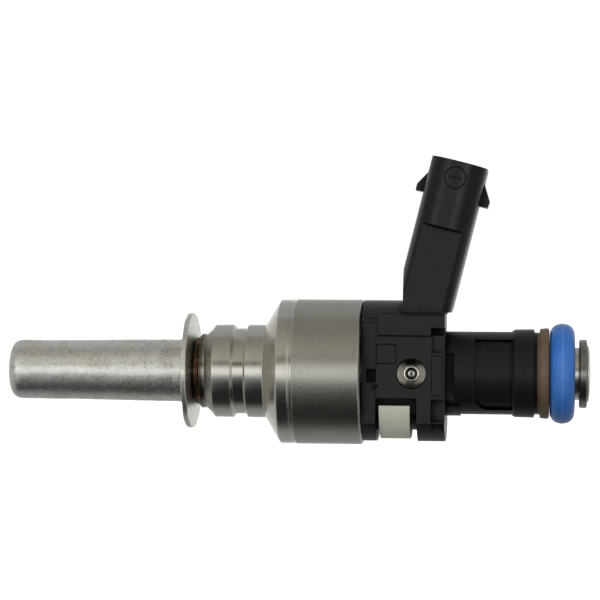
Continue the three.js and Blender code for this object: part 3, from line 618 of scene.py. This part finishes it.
def plain_polymer(name, dark, light, per_mm, rough):
    """A smooth moulding with a faint mottle, rough by so much at the least."""
    look = Look(name, specular=0.4)
    mottle = look.noise(per_mm, 5, 0.6)
    look.colour(look.ramp(mottle, [(0.3, dark), (0.7, light)]))
    look.roughness(look.range(mottle, 0.3, 0.7, rough, rough + 0.15))
    look.relief((mottle, 0.02))
    return look.material


def copper_wire():
    """Turns of enamelled wire, side by side."""
    look = Look("copper_wire", metallic=1.0)
    x = look.axis("X")
    turns = look.maths("ABSOLUTE", look.maths("SINE", look.maths("MULTIPLY", x, math.pi / 0.28)))
    mottle = look.noise(2.0, 4, 0.6)
    look.colour(look.ramp(mottle, [(0.3, (0.5, 0.2, 0.08)), (0.7, (0.66, 0.3, 0.13))]))
    look.roughness(look.range(mottle, 0.3, 0.7, 0.25, 0.4))
    look.relief((turns, 0.12))
    return look.material


def contact_metal():
    """Tinned blades."""
    look = Look("contact_metal", metallic=1.0)
    drawn = look.noise(8, 4, 0.6, stretch=(1, 1, 0.1))
    look.colour(look.ramp(drawn, [(0.3, (0.6, 0.59, 0.55)), (0.7, (0.74, 0.73, 0.69))]))
    look.roughness(look.range(drawn, 0.3, 0.7, 0.22, 0.36))
    look.relief((drawn, 0.006))
    return look.material


LOOKS = {
    "drawn_aluminium": drawn_aluminium(),
    "polished_steel": polished_steel(),
    "bright_steel": bright_steel(),
    "satin_steel": satin_steel(),
    "pin_steel": pin_steel(PIN_X),
    "dark_steel": tool_steel("dark_steel", (0.31, 0.30, 0.275), 0.24),
    "hard_steel": tool_steel("hard_steel", (0.6, 0.6, 0.6), 0.25),
    "magnetic_steel": tool_steel("magnetic_steel", (0.42, 0.42, 0.42), 0.38),
    "black_plastic": black_plastic(),
    "grey_plastic": grey_plastic(),
    "bobbin_plastic": plain_polymer(
        "bobbin_plastic", (0.035, 0.034, 0.032), (0.055, 0.053, 0.05), 2.0, 0.45
    ),
    "copper_wire": copper_wire(),
    "contact_metal": contact_metal(),
    "blue_rubber": blue_rubber(RING_CENTRE),
    "brown_polymer": brown_polymer(),
    "white_polymer": plain_polymer(
        "white_polymer", (0.66, 0.65, 0.6), (0.76, 0.75, 0.71), 1.5, 0.4
    ),
}


def coat(made, look):
    made.data.materials.clear()
    made.data.materials.append(LOOKS[look])


def place(made, node, slot, body="housing", look=None):
    """Gives a piece its material, its body and the CAD node that it stands for."""
    made.name = node + "_piece"
    coat(made, look or slot)
    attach(made, body)
    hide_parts(node)
    return made


# ---- Protective cap ----


def cap_shape(x, r, angle):
    """Dents and waves in the thin drawn wall, and a flange that is dished and leans a little."""
    if r < 0.5:
        return x, r
    seen = Vector((x * 0.22, math.cos(angle) * 1.1, math.sin(angle) * 1.1))
    wave = noise.noise(seen) * 0.07
    fine_wave = noise.noise(seen * 3.1 + Vector((7, 1, 3))) * 0.022
    flange, breadth = 5.2, 3.2  # where the flange begins and how far out it reaches
    if r > flange:
        rim = (r - flange) / breadth
        around = Vector((math.cos(angle) * 2.2, math.sin(angle) * 2.2, 4))
        dish = -0.22 * rim + 0.12 * rim * noise.noise(around)
        lean = 0.17 * rim * math.sin(angle)
        return x + dish + lean, r + 0.08 * rim * noise.noise(around * 2)
    return x, r + (wave + fine_wave) * min(1.0, r / 3.0)


def protective_cap():
    tip, rear = span("protective_cap")
    face = rear - 0.8  # front of the flange
    wall = 0.42
    points = [
        (tip, 0),
        (tip + 0.02, 1.2, 1.0),
        (tip + 0.28, 4.36, 2.0),
        (tip + 5, 4.34, 3),
        (tip + 10, 4.37, 3),
        (tip + 16.5, 4.49, 3),
        (rear - 2.9, 4.56, 1),
        (rear - 2.0, 4.64, 0.5),
        (rear - 1.35, 4.68, 0.3),
        (face - 0.02, 4.95, 0.3),
        (face, 8.46, 0.16),
        (rear - 0.06, 8.46, 0.2),
        (rear - 0.06, 4.35, 0.5),
        (rear - 2.6, 4.56 - wall, 1),
        (tip + 16.5, 4.49 - wall, 3),
        (tip + 10, 4.37 - wall, 3),
        (tip + 0.28 + wall, 4.36 - wall, 1.6),
        (tip + 0.02 + wall, 1.2, 1.0),
        (tip + wall, 0),
    ]
    made = turned("cap", points, shape=cap_shape, sides=176, steps=7, longest=0.6)
    place(made, "protective_cap", "drawn_aluminium", body="cap")


# ---- Nozzle ----


def nozzle():
    tip, back = span("nozzle_tube")
    seal_front, seal_back = span("combustion_seal")
    radius, bore, depth = 3.7, 2.2, 0.55
    profile = [
        (tip + 0.4, bore),
        (tip, bore + 0.3, 0.1),
        (tip, radius - 0.5, 0.15),
        (tip + 0.5, radius, 0.15),
        (seal_front - 0.05, radius, 0.08),
        (seal_front - 0.05, radius - depth, 0.08),
        (seal_back + 0.05, radius - depth, 0.08),
        (seal_back + 0.05, radius, 0.08),
        (back, radius),
        (back, bore),
    ]
    made = turned("nozzle", profile, sides=128)
    place(made, "nozzle_tube", "polished_steel", look="bright_steel")
    profile = [
        (seal_front, radius - depth + 0.05),
        (seal_front, radius + 0.06, 0.12),
        ((seal_front + seal_back) / 2, radius + 0.1),
        (seal_back, radius + 0.06, 0.12),
        (seal_back, radius - depth + 0.05),
    ]
    seal = turned("seal", profile, sides=128)
    place(seal, "combustion_seal", "white_polymer")


# ---- Lower body ----


def lower_body():
    front, rear = span("lower_body")
    shank, floor = 6.82, 6.29  # radii of the shank and of its groove
    profile = [
        (front - 0.25, 3.8),
        (front - 0.25, 4.78, 0.1),
        (front - 0.13, 4.92, 0.1),
        (front + 0.24, 4.95, 0.1),
        (front + 0.32, 5.08, 0.08),
        (front + 0.46, 5.08, 0.08),
        (front + 0.54, 5.3, 0.05),
        (front + 0.66, 5.42, 0.05),
        (front + 0.76, 5.5, 0.04),
        (front + 0.88, 5.5, 0.04),
        (front + 0.94, 5.44, 0.03),
        (front + 1.48, 5.46, 0.1),
        (-9.7, shank - 0.03, 0.12),
        (GROOVE_X - GROOVE_HALF - 0.4, shank, 0.08),
        (GROOVE_X - GROOVE_HALF, floor, 0.06),
        (GROOVE_X + GROOVE_HALF, floor, 0.06),
        (GROOVE_X + GROOVE_HALF + 0.3, shank, 0.08),
        (-2.62, shank + 0.01, 0.1),
        (-2.3, shank - 0.03, 0.2),
        (-1.95, shank + 0.5, 0.9),
        (-0.12, 10.38, 0.12),
        (0.06, 10.54, 0.1),
        (1.56, 10.55, 0.03),
        (1.61, 10.49),
        (1.61, 9.85),
        (rear, 9.85),
        (rear, 5.5),
        (-3.0, 5.5),
        (-3.0, 2.4),
        (-6.1, 2.4),
        (-6.1, 3.8),
    ]
    made = turned("body", profile, sides=256)
    place(made, "lower_body", "polished_steel")


# ---- Coil shell ----


def coil_shell():
    front, rear = span("coil_shell")
    radius, seam = 10.6, 10.49  # of the shell, and of the cuts beside its bright ring
    profile = [
        (front + 0.015, 9.95),
        (front + 0.015, seam),
        (front + 0.1, 10.5, 0.03),
        (front + 0.16, radius, 0.05),
        (front + 0.28, radius, 0.05),
        (front + 0.36, seam, 0.03),
        (front + 0.6, seam, 0.03),
        (front + 0.72, radius, 0.06),
        (front + 0.8, radius, 0.04),
        (rear - 5, 10.59, 1),
        (rear - 0.25, radius, 0.35),
        (rear - 0.02, 10.22, 0.15),
        (rear - 0.02, 9.95),
    ]
    made = turned("shell", profile, sides=256)
    place(made, "coil_shell", "satin_steel")


# ---- Inlet end ----


def inlet_tube():
    front, end = span("inlet_tube")
    plate_front, plate_rear = span("end_plate")
    profile = [
        (front, TUBE_BORE),
        (front, TUBE_RADIUS),
        (plate_front - 0.05, TUBE_RADIUS, 0.08),
        (plate_front - 0.05, 3.3),
        (plate_rear + 0.03, 3.3),
        (plate_rear + 0.03, 4.12, 0.06),
        (plate_rear + 0.22, 4.1, 0.12),
        (end - 0.5, 3.55, 0.4),
        (end - 0.38, 2.95, 0.2),
        (end - 0.4, 2.62, 0.12),
        (end - 0.7, TUBE_BORE),
    ]
    made = turned("inlet", profile, sides=160)
    place(made, "inlet_tube", "polished_steel", look="bright_steel")
    profile = [
        (plate_front, 3.35),
        (plate_front, 4.86, 0.08),
        (plate_front + 0.14, 4.98, 0.08),
        (plate_rear - 0.14, 4.99, 0.1),
        (plate_rear, 4.84, 0.1),
        (plate_rear, 3.35),
    ]
    plate = turned("plate", profile, sides=160)
    place(plate, "end_plate", "satin_steel", look="dark_steel")


def upper_o_ring():
    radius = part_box("upper_o_ring")[1].z / MM
    inner = 3.88
    middle = (radius + inner) / 2
    half_wide = (RING_REAR - RING_FRONT) / 2
    half_thick = (radius - inner) / 2
    section = []
    sides = 40
    for k in range(sides):
        angle = 2 * math.pi * k / sides
        c, s = math.cos(angle), math.sin(angle)
        # The ring's sides are a little flatter than a true circle's, as a stretched ring's are.
        bulge = 1 + 0.035 * math.sin(2 * angle) ** 2
        section.append((RING_CENTRE + half_wide * c * bulge, middle + half_thick * s * bulge))

    def seam(x, r, angle):
        line = math.exp(-(((x - RING_CENTRE) / 0.07) ** 2))
        return x, r + (0.025 * line if r > middle else 0)

    made = turned("ring", section, shape=seam, sides=224)
    place(made, "upper_o_ring", "blue_rubber")


def backup_ring():
    front, rear = span("backup_ring")
    rear += 0.14
    profile = [
        (front, 3.95),
        (front, 5.9, 0.08),
        (front + 0.08, 5.98, 0.05),
        (front + 0.34, 6.0),
        (front + 0.36, 6.46, 0.1),
        (front + 0.7, 6.54, 0.1),
        (rear - 0.3, 6.62, 0.2),
        (rear, 6.4, 0.15),
        (rear, 3.95),
    ]
    made = turned("backup", profile)
    place(made, "backup_ring", "brown_polymer")


# ---- Mouldings ----

CORE_REAR = BLOCK_FRONT + 8.8
CORE_RADIUS = 8.4
TILT = math.radians(14)
NECK_UP = Vector((math.sin(TILT), 0, math.cos(TILT)))
NECK_SIDE = Vector((math.cos(TILT), 0, -math.sin(TILT)))
MOUTH = Vector((BLOCK_FRONT + 13.9, 0, 30.55))
NECK_THICK = 8.22
NECK_WIDE = 14.8
NECK_CORNER = 3.6
RIB_WIDTH = 2.0  # upright rib at the rear of the block's flats
FAR = 40.0  # past everything, for cuts that go right through


def in_neck(u, v, depth):
    """u across the neck's thickness, v across the injector, depth below the mouth."""
    made = MOUTH + NECK_SIDE * u - NECK_UP * depth
    return made.x, v, made.z


def neck_prism(name, width, height, corner, shallow, deep, steps=10, centre=(0, 0)):
    points = round_rectangle(width, height, corner, steps, centre)
    return prism(name, points, shallow, deep, in_neck)


def across_neck(u, w, depth):
    """u across the neck's thickness, w below the mouth, depth along Y."""
    return in_neck(u, depth, w)


def along_x(u, v, depth):
    return depth, u, v


def along_y(u, v, depth):
    return u, depth, v


def cylinder_x(name, radius, x0, x1, sides=160):
    return prism(name, circle(radius, sides), x0, x1, along_x)


def arc(radius, start, end, steps):
    angles = [start + (end - start) * k / steps for k in range(steps + 1)]
    return [(radius * math.cos(angle), radius * math.sin(angle)) for angle in angles]


def block_outline():
    """Round on top, flat at both sides, round lower corners and a narrow flat underneath."""
    top, low, under = 10.55, 10.15, 9.95
    over = math.acos(FLAT / top)
    side = math.acos(FLAT / low)
    bottom = math.asin(under / low)
    made = arc(top, over, math.pi - over, 40)
    made += arc(low, math.pi + side, math.pi + bottom, 8)
    made += arc(low, -bottom, -side, 8)
    return made


def latch_nose(side):
    """side -1 faces the nozzle, 1 the inlet."""
    half = NECK_THICK / 2
    if side < 0:
        drop, knee, foot, out = 2.2, 4.4, 5.35, 1.27
        points = [(-half + 0.6, drop - 0.4), (-half, drop), (-half - out, knee), (-half - out, foot)]
        points += [(-half + 0.6, foot - 0.05)]
    else:
        drop, knee, foot, out = 2.0, 4.4, 5.4, 1.4
        points = [(half - 0.6, foot), (half + out - 0.1, foot), (half + out, knee), (half, drop)]
        points += [(half - 0.6, drop - 0.4)]
    width = 2.1
    return prism("nose", points, -width, width, across_neck)


def lock_hole(side):
    """The round hole that the lock pin sits in."""
    rim = circle(PIN_HOLE_RADIUS, 64, (PIN_X, 0))
    return prism("hole", rim, side * 5.0, side * 9.0, along_y)


def connector_housing():
    neck = neck_prism("housing", NECK_THICK, NECK_WIDE, NECK_CORNER, 0, 24, 20)
    left = BLOCK_FRONT + 5.85
    combine(neck, [block("keep", (left, left + FAR), (-FAR, FAR), (8.8, FAR))], "INTERSECT")
    panel = neck_prism("panel", 12, 4, 0.1, 9.95, 30, 2, (0, -NECK_WIDE / 2 - 2 + 0.84))
    step = neck_prism("step", 12, 4, 0.1, 9.75, 9.98, 2, (0, -NECK_WIDE / 2 - 2 + 1.05))
    combine(neck, [panel, step], "DIFFERENCE")
    body = prism("block", block_outline(), BLOCK_FRONT, BLOCK_REAR, along_x)
    trim = block("trim", (BLOCK_REAR - 1.5, BLOCK_REAR + 1), (-FAR, FAR), (8.8, FAR))
    combine(body, [trim], "DIFFERENCE")
    base = block("base", (left, BLOCK_REAR), (-6.5, 6.5), (6, 8.9))
    foot = block("foot", (BLOCK_REAR - 1.5, BLOCK_REAR + 0.2), (-5.5, 5.5), (8.6, 9.35))
    bars = []
    for side in (-1, 1):
        y = sorted((side * (FLAT - 1), side * (FLAT + 0.3)))
        bars.append(block("bar", (BLOCK_FRONT + 2.3, BLOCK_REAR - 0.02), y, (5.5, 8.35)))
    combine(neck, [body, base, foot, *bars, latch_nose(-1), latch_nose(1)], "UNION")

    # The socket, and room for the inner moulding, the barrel and the contacts.
    socket = neck_prism("socket", NECK_THICK - 2.3, NECK_WIDE - 2.3, 2.5, -1, 13, 6)
    core = cylinder_x("core", CORE_RADIUS + 0.1, BLOCK_FRONT - 1, CORE_REAR + 0.05)
    sides = block("sides", (BLOCK_FRONT - 2, CORE_REAR + 1), (-6.1, 6.1), (-FAR, FAR))
    combine(core, [sides], "INTERSECT")
    barrel = cylinder_x("barrel", BARREL_RADIUS + 0.1, CORE_REAR - 1, BLOCK_REAR + 1)
    clip_room = (BLOCK_FRONT + 2.0, BLOCK_FRONT + 7.95)
    windows = block("window", clip_room, (-FAR, FAR), (-FAR, -3.55))
    combine(neck, [socket, core, barrel, windows, lock_hole(-1), lock_hole(1)], "DIFFERENCE")
    combine(neck, front_features() + rear_features() + mark(), "DIFFERENCE")
    tidy_cuts(neck)
    place(neck, "connector_housing", "black_plastic")


def outlined(x, z, line, depth):
    """Four thin cuts in the front flat around a rectangle given as (low, high) pairs."""
    rows = [
        (x, (z[1] - line, z[1])),
        (x, (z[0], z[0] + line)),
        ((x[0], x[0] + line), z),
        ((x[1] - line, x[1]), z),
    ]
    return [block("line", across, (-FLAT - 1, depth - FLAT), up) for across, up in rows]


def front_features():
    """Recesses in the front flat: a framed square, a pocket with a worn nick, and the rib's cells."""
    face = -FLAT
    left = BLOCK_FRONT + 2.12
    rib = BLOCK_REAR - RIB_WIDTH
    pocket = BLOCK_FRONT + 0.62

    def recess(name, x, depth, z):
        return block(name, x, (face - 1, face + depth), z)

    ragged = [(0.6, -1.25), (1.0, -1.25), (1.25, -1.7), (1.85, -1.6), (1.7, -2.1), (1.1, -2.5)]
    ragged += [(0.75, -2.2), (0.85, -1.8)]
    nick = [(pocket + x, z) for x, z in ragged]
    return [
        recess("edge", (BLOCK_FRONT - 1, left - 0.08), 0.12, (-7.2, 7.4)),
        *outlined((left, left + 2.85), (1.35, 4.22), 0.12, 0.16),
        recess("line", (BLOCK_FRONT + 2.3, rib), 0.18, (5.36, 5.52)),
        recess("pocket", (pocket, pocket + 1.46), 1.1, (-1.3, 0.64)),
        prism("nick", nick, face - 1, face + 0.45, along_y),
        recess("slot", (rib, BLOCK_REAR + 1), 2.4, (5.5, 6.6)),
        recess("upper", (rib + 0.1, BLOCK_REAR + 1), 0.55, (3.0, 5.5)),
        recess("lower", (rib, BLOCK_REAR + 1), 1.3, (-7.0, -3.7)),
        recess("cell", (rib + 0.1, BLOCK_REAR - 0.25), 1.6, (-9.35, -7.2)),
        *outlined((rib + 0.05, BLOCK_REAR - 0.3), (-3.22, 2.62), 0.12, 0.14),
    ]


def rear_features():
    """The rear flat has the rib's recesses only."""
    face = FLAT
    rib = BLOCK_REAR - RIB_WIDTH
    return [
        block("relief", (BLOCK_REAR - 0.65, BLOCK_REAR + 1), (1.5, face + 1), (4.8, 9.3)),
        block("upper", (rib, BLOCK_REAR + 1), (face - 1.0, face + 1), (3.3, 5.4)),
        block("lower", (rib, BLOCK_REAR + 1), (face - 1.0, face + 1), (-6.9, -3.7)),
    ]


def mark():
    """A plain cross in a circle, engraved on the neck's front face."""
    drop, radius, line, depth = 2.45, 1.62, 0.16, 0.12
    outer = prism("ring", circle(radius, 56, (0, drop)), -4.0, -9.0, across_neck)
    inner = prism("disc", circle(radius - line, 56, (0, drop)), -3.5, -9.5, across_neck)
    combine(outer, [inner], "DIFFERENCE")
    arm = 0.95
    bars = []
    for w, h in ((arm, line / 2), (line / 2, arm)):
        corners = [(-w, drop - h), (w, drop - h), (w, drop + h), (-w, drop + h)]
        bars.append(prism("arm", corners, -4.0, -9.0, across_neck))
    combine(bars[0], [bars[1]], "UNION")
    cuts = [outer, bars[0]]
    for cut in cuts:
        shrunk = neck_prism(
            "shrunk", NECK_THICK - 2 * depth, NECK_WIDE - 2 * depth, NECK_CORNER - depth, -2, 24
        )
        combine(cut, [shrunk], "DIFFERENCE")
    return cuts


def inlet_barrel():
    end = span("inlet_barrel")[1]
    bore = 3.92
    profile = [
        (CORE_REAR - 1, bore),
        (CORE_REAR - 1, BARREL_RADIUS),
        (BLOCK_REAR + 4.0, BARREL_RADIUS, 0.05),
        (BLOCK_REAR + 4.06, 5.98, 0.02),
        (BLOCK_REAR + 4.12, BARREL_RADIUS, 0.05),
        (end - 3.72, BARREL_RADIUS, 0.15),
        (end - 3.2, 6.4, 0.15),
        (end - 0.42, 6.45, 0.12),
        (end - 0.34, 6.0, 0.05),
        (end + 0.04, 5.98, 0.02),
        (end + 0.04, bore),
    ]
    made = turned("barrel", profile, sides=160)
    core = cylinder_x("core", CORE_RADIUS, BLOCK_FRONT + 0.05, CORE_REAR)
    flats = block("flats", (0, FAR), (-6, 6), (-FAR, FAR))
    combine(core, [flats], "INTERSECT")
    hollow = cylinder_x("hollow", bore, 0, CORE_REAR + 1)
    combine(core, [hollow], "DIFFERENCE")
    tab = cylinder_x("tab", 6.28, BLOCK_REAR + 0.05, BLOCK_REAR + 2.15)
    clip_tab = block("clip", (0, FAR), (-4.6, 4.6), (-9, -4.75))
    combine(tab, [clip_tab], "INTERSECT")
    ring = cylinder_x("ring", 5.0, 0, FAR)
    combine(tab, [ring], "DIFFERENCE")
    combine(made, [core, tab], "UNION")
    slot = block("slot", (BLOCK_REAR + 0.05, BLOCK_REAR + 1.35), (-9, -4.65), (-4.85, 3.05))
    left = BLOCK_REAR + 4.2
    window = prism(
        "window", round_rectangle(5.55, 10.2, 1.9, 8, (left + 2.78, -0.15)), -9, 0, along_y
    )
    square = block("square", (left, left + 5.52), (-9, 0), (-1, 4.95))
    right = block("right", (left + 3.3, left + 5.55), (-9, 0), (-5.25, 3))
    combine(window, [square, right], "UNION")
    inside = cylinder_x("inside", 5.72, 0, FAR)
    combine(window, [inside], "DIFFERENCE")
    combine(made, [slot, window], "DIFFERENCE")
    holes = [
        prism("pin_room", circle(PIN_HOLE_RADIUS + 0.05, 48, (PIN_X, 0)), s * 4.3, s * 9, along_y)
        for s in (-1, 1)
    ]
    combine(made, holes, "DIFFERENCE")
    tidy_cuts(made)
    place(made, "inlet_barrel", "black_plastic")


def lock_pin(side, node):
    """A pin with a dished head and a raised eye."""
    face = FLAT - 0.42
    profile = [
        (4.42, 0),
        (4.42, 1.1),
        (face - 1.6, 1.1),
        (face - 1.0, 2.1, 0.1),
        (face, 2.12, 0.07),
        (face + 0.02, 2.02, 0.04),
        (face - 0.4, 1.24, 0.12),
        (face - 0.52, 1.16, 0.05),
        (face - 0.24, 1.08, 0.08),
        (face - 0.2, 0.9, 0.08),
        (face - 0.6, 0.8, 0.06),
        (face - 0.64, 0.58, 0.05),
        (face - 0.36, 0.46, 0.12),
        (face - 0.3, 0.0),
    ]
    made = turned("pin", profile, sides=96)
    turn = Matrix.Rotation(side * math.pi / 2, 4, "Z")
    made.data.transform(Matrix.Translation(Vector((PIN_X, 0, 0)) * MM) @ turn)
    place(made, node, "polished_steel", look="pin_steel")


def locating_clip():
    """A C-shaped clip around the underside of the inner moulding, with its ends cut level."""
    front, rear = span("locating_clip")
    inner, outer, edge = 8.55, 9.7, 0.12
    end_height = 4.62
    length = rear - front - 0.32
    section = [
        (0, inner),
        (0, outer - edge),
        (edge * 0.3, outer - edge * 0.3),
        (edge, outer),
        (length - edge, outer),
        (length - edge * 0.3, outer - edge * 0.3),
        (length, outer - edge),
        (length, inner),
    ]
    start = math.radians(28)
    steps = 72
    rows = []
    for k in range(steps + 1):
        angle = -start - (math.pi - 2 * start) * k / steps
        wave = 0.04 * noise.noise(Vector((angle * 2.2, 1.5, 0.3)))
        lean = 0.2 * (1 - math.cos(angle + math.pi / 2))
        row = []
        for x, r in section:
            level = math.asin(end_height / r)
            turn = min(max(angle, level - math.pi), -level)
            y = (r + wave) * math.cos(turn)
            z = (r + wave) * math.sin(turn)
            row.append((front + 0.32 + x + lean, y, z))
        rows.append(row)
    place(lofted("clip", rows), "locating_clip", "grey_plastic")


def contact(side, node):
    """A blade in the socket with a chamfered tip, down to the socket's floor and a little below."""
    y = side * 2.5
    wide, thick = 0.75, 0.315
    tip, floor = 5.8, 14.5
    levels = [(floor, wide, thick), (tip + 0.7, wide, thick), (tip, wide * 0.55, thick * 0.45)]
    rows = []
    for depth, w, t in levels:
        corners = ((-t, -w), (t, -w), (t, w), (-t, w))
        rows.append([in_neck(u, y + v, depth) for u, v in corners])
    place(lofted("blade", rows), node, "contact_metal")


def closing_spring():
    """A round wire. It stands clear of the needle by the lift, where the real spring gives way."""
    low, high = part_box("closing_spring")
    wire, clear = 0.25, 0.12
    coil = high.z / MM - wire
    start = low.x / MM + clear + wire
    end = high.x / MM - wire
    turns, steps, sides = 6, 40, 14
    rows = []
    for k in range(turns * steps + 1):
        t = k / (turns * steps)
        angle = 2 * math.pi * turns * t
        # The end coils lie close and the middle ones stand apart.
        rise = t - 0.35 * math.sin(2 * math.pi * t) / (2 * math.pi)
        outward = Vector((0, math.cos(angle), math.sin(angle)))
        centre = Vector((start + (end - start) * rise, 0, 0)) + outward * coil
        row = []
        for i in range(sides):
            around = 2 * math.pi * i / sides
            along = Vector((wire * math.sin(around), 0, 0))
            row.append(centre + outward * wire * math.cos(around) + along)
        rows.append(row)
    place(lofted("spring", rows), "closing_spring", "hard_steel")


protective_cap()
nozzle()
closing_spring()
lower_body()
coil_shell()
inlet_tube()
upper_o_ring()
backup_ring()
connector_housing()
inlet_barrel()
lock_pin(-1, "lock_pin_front")
lock_pin(1, "lock_pin_rear")
locating_clip()
contact(-1, "terminal_front")
contact(1, "terminal_rear")

# ---- The pieces inside keep their CAD shapes and get their materials ----

SLOTS = {row["node"]: row["material_slot"] for row in frame["record"]["subparts"]}
for node, made in frame["nodes"].items():
    coat(made, SLOTS[node])

# ---- Floor and light ----


def make_floor():
    bm = bmesh.new()
    half = 6.0
    corners = [(-half, -half), (half, -half), (half, half), (-half, half)]
    bm.faces.new([bm.verts.new((x, y, FLOOR_Z * MM)) for x, y in corners])
    floor = new_object("floor", bm)
    look = Look("floor", roughness=0.8)
    cloud = look.noise(0.002, 2)
    look.colour(look.ramp(cloud, [(0.0, (0.93, 0.93, 0.93)), (1.0, (0.95, 0.95, 0.95))]))
    look.shader.inputs["Emission Color"].default_value = (1, 1, 1, 1)
    look.shader.inputs["Emission Strength"].default_value = 0.6
    floor.data.materials.append(look.material)
    floor.visible_glossy = False
    floor.visible_diffuse = False


def make_world():
    """A white backdrop behind the part, a grey ceiling, a band of light ahead and a dark table."""
    world = bpy.data.worlds.new("studio")
    scene.world = world
    world.use_nodes = True
    sky = Nodes(world.node_tree)
    direction = sky.node("ShaderNodeTexCoord").outputs["Generated"]
    parts = sky.node("ShaderNodeSeparateXYZ", {"Vector": direction})
    ahead = sky.maths("MULTIPLY", parts.outputs["Y"], -1)
    angle = sky.maths("ARCTAN2", parts.outputs["Z"], ahead)
    # Angle above the viewer's side of the part and brightness. The ceiling's light is warmer.
    bands = [(-180, 0.90), (-166, 0.70), (-150, 0.40), (-124, 0.34), (-112, 0.31)]
    bands += [(-102, 0.19), (-94, 0.09), (-84, 0.025), (-50, 0.022), (-38, 0.035)]
    bands += [(-27, 0.09), (-18, 0.22), (-12, 0.50), (-4, 1.08), (7, 1.08)]
    bands += [(12, 0.60), (17, 0.22), (23, 0.20), (28, 0.46), (62, 0.35)]
    bands += [(92, 0.29), (99, 0.40), (150, 0.46), (166, 0.74), (180, 0.90)]
    stops = []
    for degrees, level in bands:
        tint = (1.0, 0.96, 0.86) if 12 <= degrees <= 92 else (1.0, 1.0, 0.98)
        stops.append(((degrees + 180) / 360, tuple(level * part for part in tint)))
    around = sky.ramp(sky.range(angle, -math.pi, math.pi), stops)
    # Two upright strips of light to the left and right of the viewer.
    levels = [(0.24, 0), (0.27, 0.7), (0.33, 0.7), (0.37, 0)]
    levels += [(0.64, 0), (0.68, 0.7), (0.74, 0.7), (0.78, 0)]
    strips = sky.ramp(
        sky.range(parts.outputs["X"], -1, 1), [(share, (level,) * 3) for share, level in levels]
    )
    shown = sky.mix(sky.range(ahead, 0.5, 0.75), around, strips, blend="ADD")
    # Plain grey towards both ends of the part.
    sideways = sky.maths("ABSOLUTE", parts.outputs["X"])
    whole = sky.mix(sky.range(sideways, 0.42, 0.8), shown, (0.43, 0.42, 0.39))

    studio = sky.node("ShaderNodeBackground", {"Color": whole, "Strength": 1.0})
    white = sky.node("ShaderNodeBackground", {"Color": (1, 1, 1), "Strength": 1.05})
    seen = sky.node("ShaderNodeLightPath").outputs["Is Camera Ray"]
    both = {0: seen, 1: studio.outputs["Background"], 2: white.outputs["Background"]}
    mix = sky.node("ShaderNodeMixShader", both)
    sky.node("ShaderNodeOutputWorld", {"Surface": mix.outputs["Shader"]})


def soft_light(name, strength, elevation, turn):
    """Soft light that shades plastic and rubber and doesn't show as a reflection in the metal."""
    data = bpy.data.lights.new(name, "SUN")
    data.energy = strength
    data.angle = math.radians(50)
    made = added(name, data)
    made.rotation_euler = (math.radians(90 - elevation), 0, math.radians(turn))
    made.visible_glossy = False


def side_lamp(name, x, shown_in):
    """A tall narrow lamp that shows as a soft streak along the neck."""
    data = bpy.data.lights.new(name, "AREA")
    data.shape = "RECTANGLE"
    data.size = 0.2
    data.size_y = 0.4
    data.energy = 1.3
    made = added(name, data)
    made.location = (x, -0.9, 0.12)
    made.rotation_euler = (-made.location).to_track_quat("-Z", "Y").to_euler()
    made.visible_diffuse = False
    made.visible_camera = False
    made.light_linking.receiver_collection = shown_in


def side_lamps():
    streaked = bpy.data.collections.new("streaked")
    streaked.objects.link(bpy.data.objects["connector_housing_piece"])
    side_lamp("lamp_left", -0.64, streaked)
    side_lamp("lamp_right", 0.41, streaked)


make_floor()
make_world()
side_lamps()
soft_light("key", 1.3, 35, -8)
soft_light("fill", 0.6, -45, 10)
scene.view_settings.view_transform = "Standard"
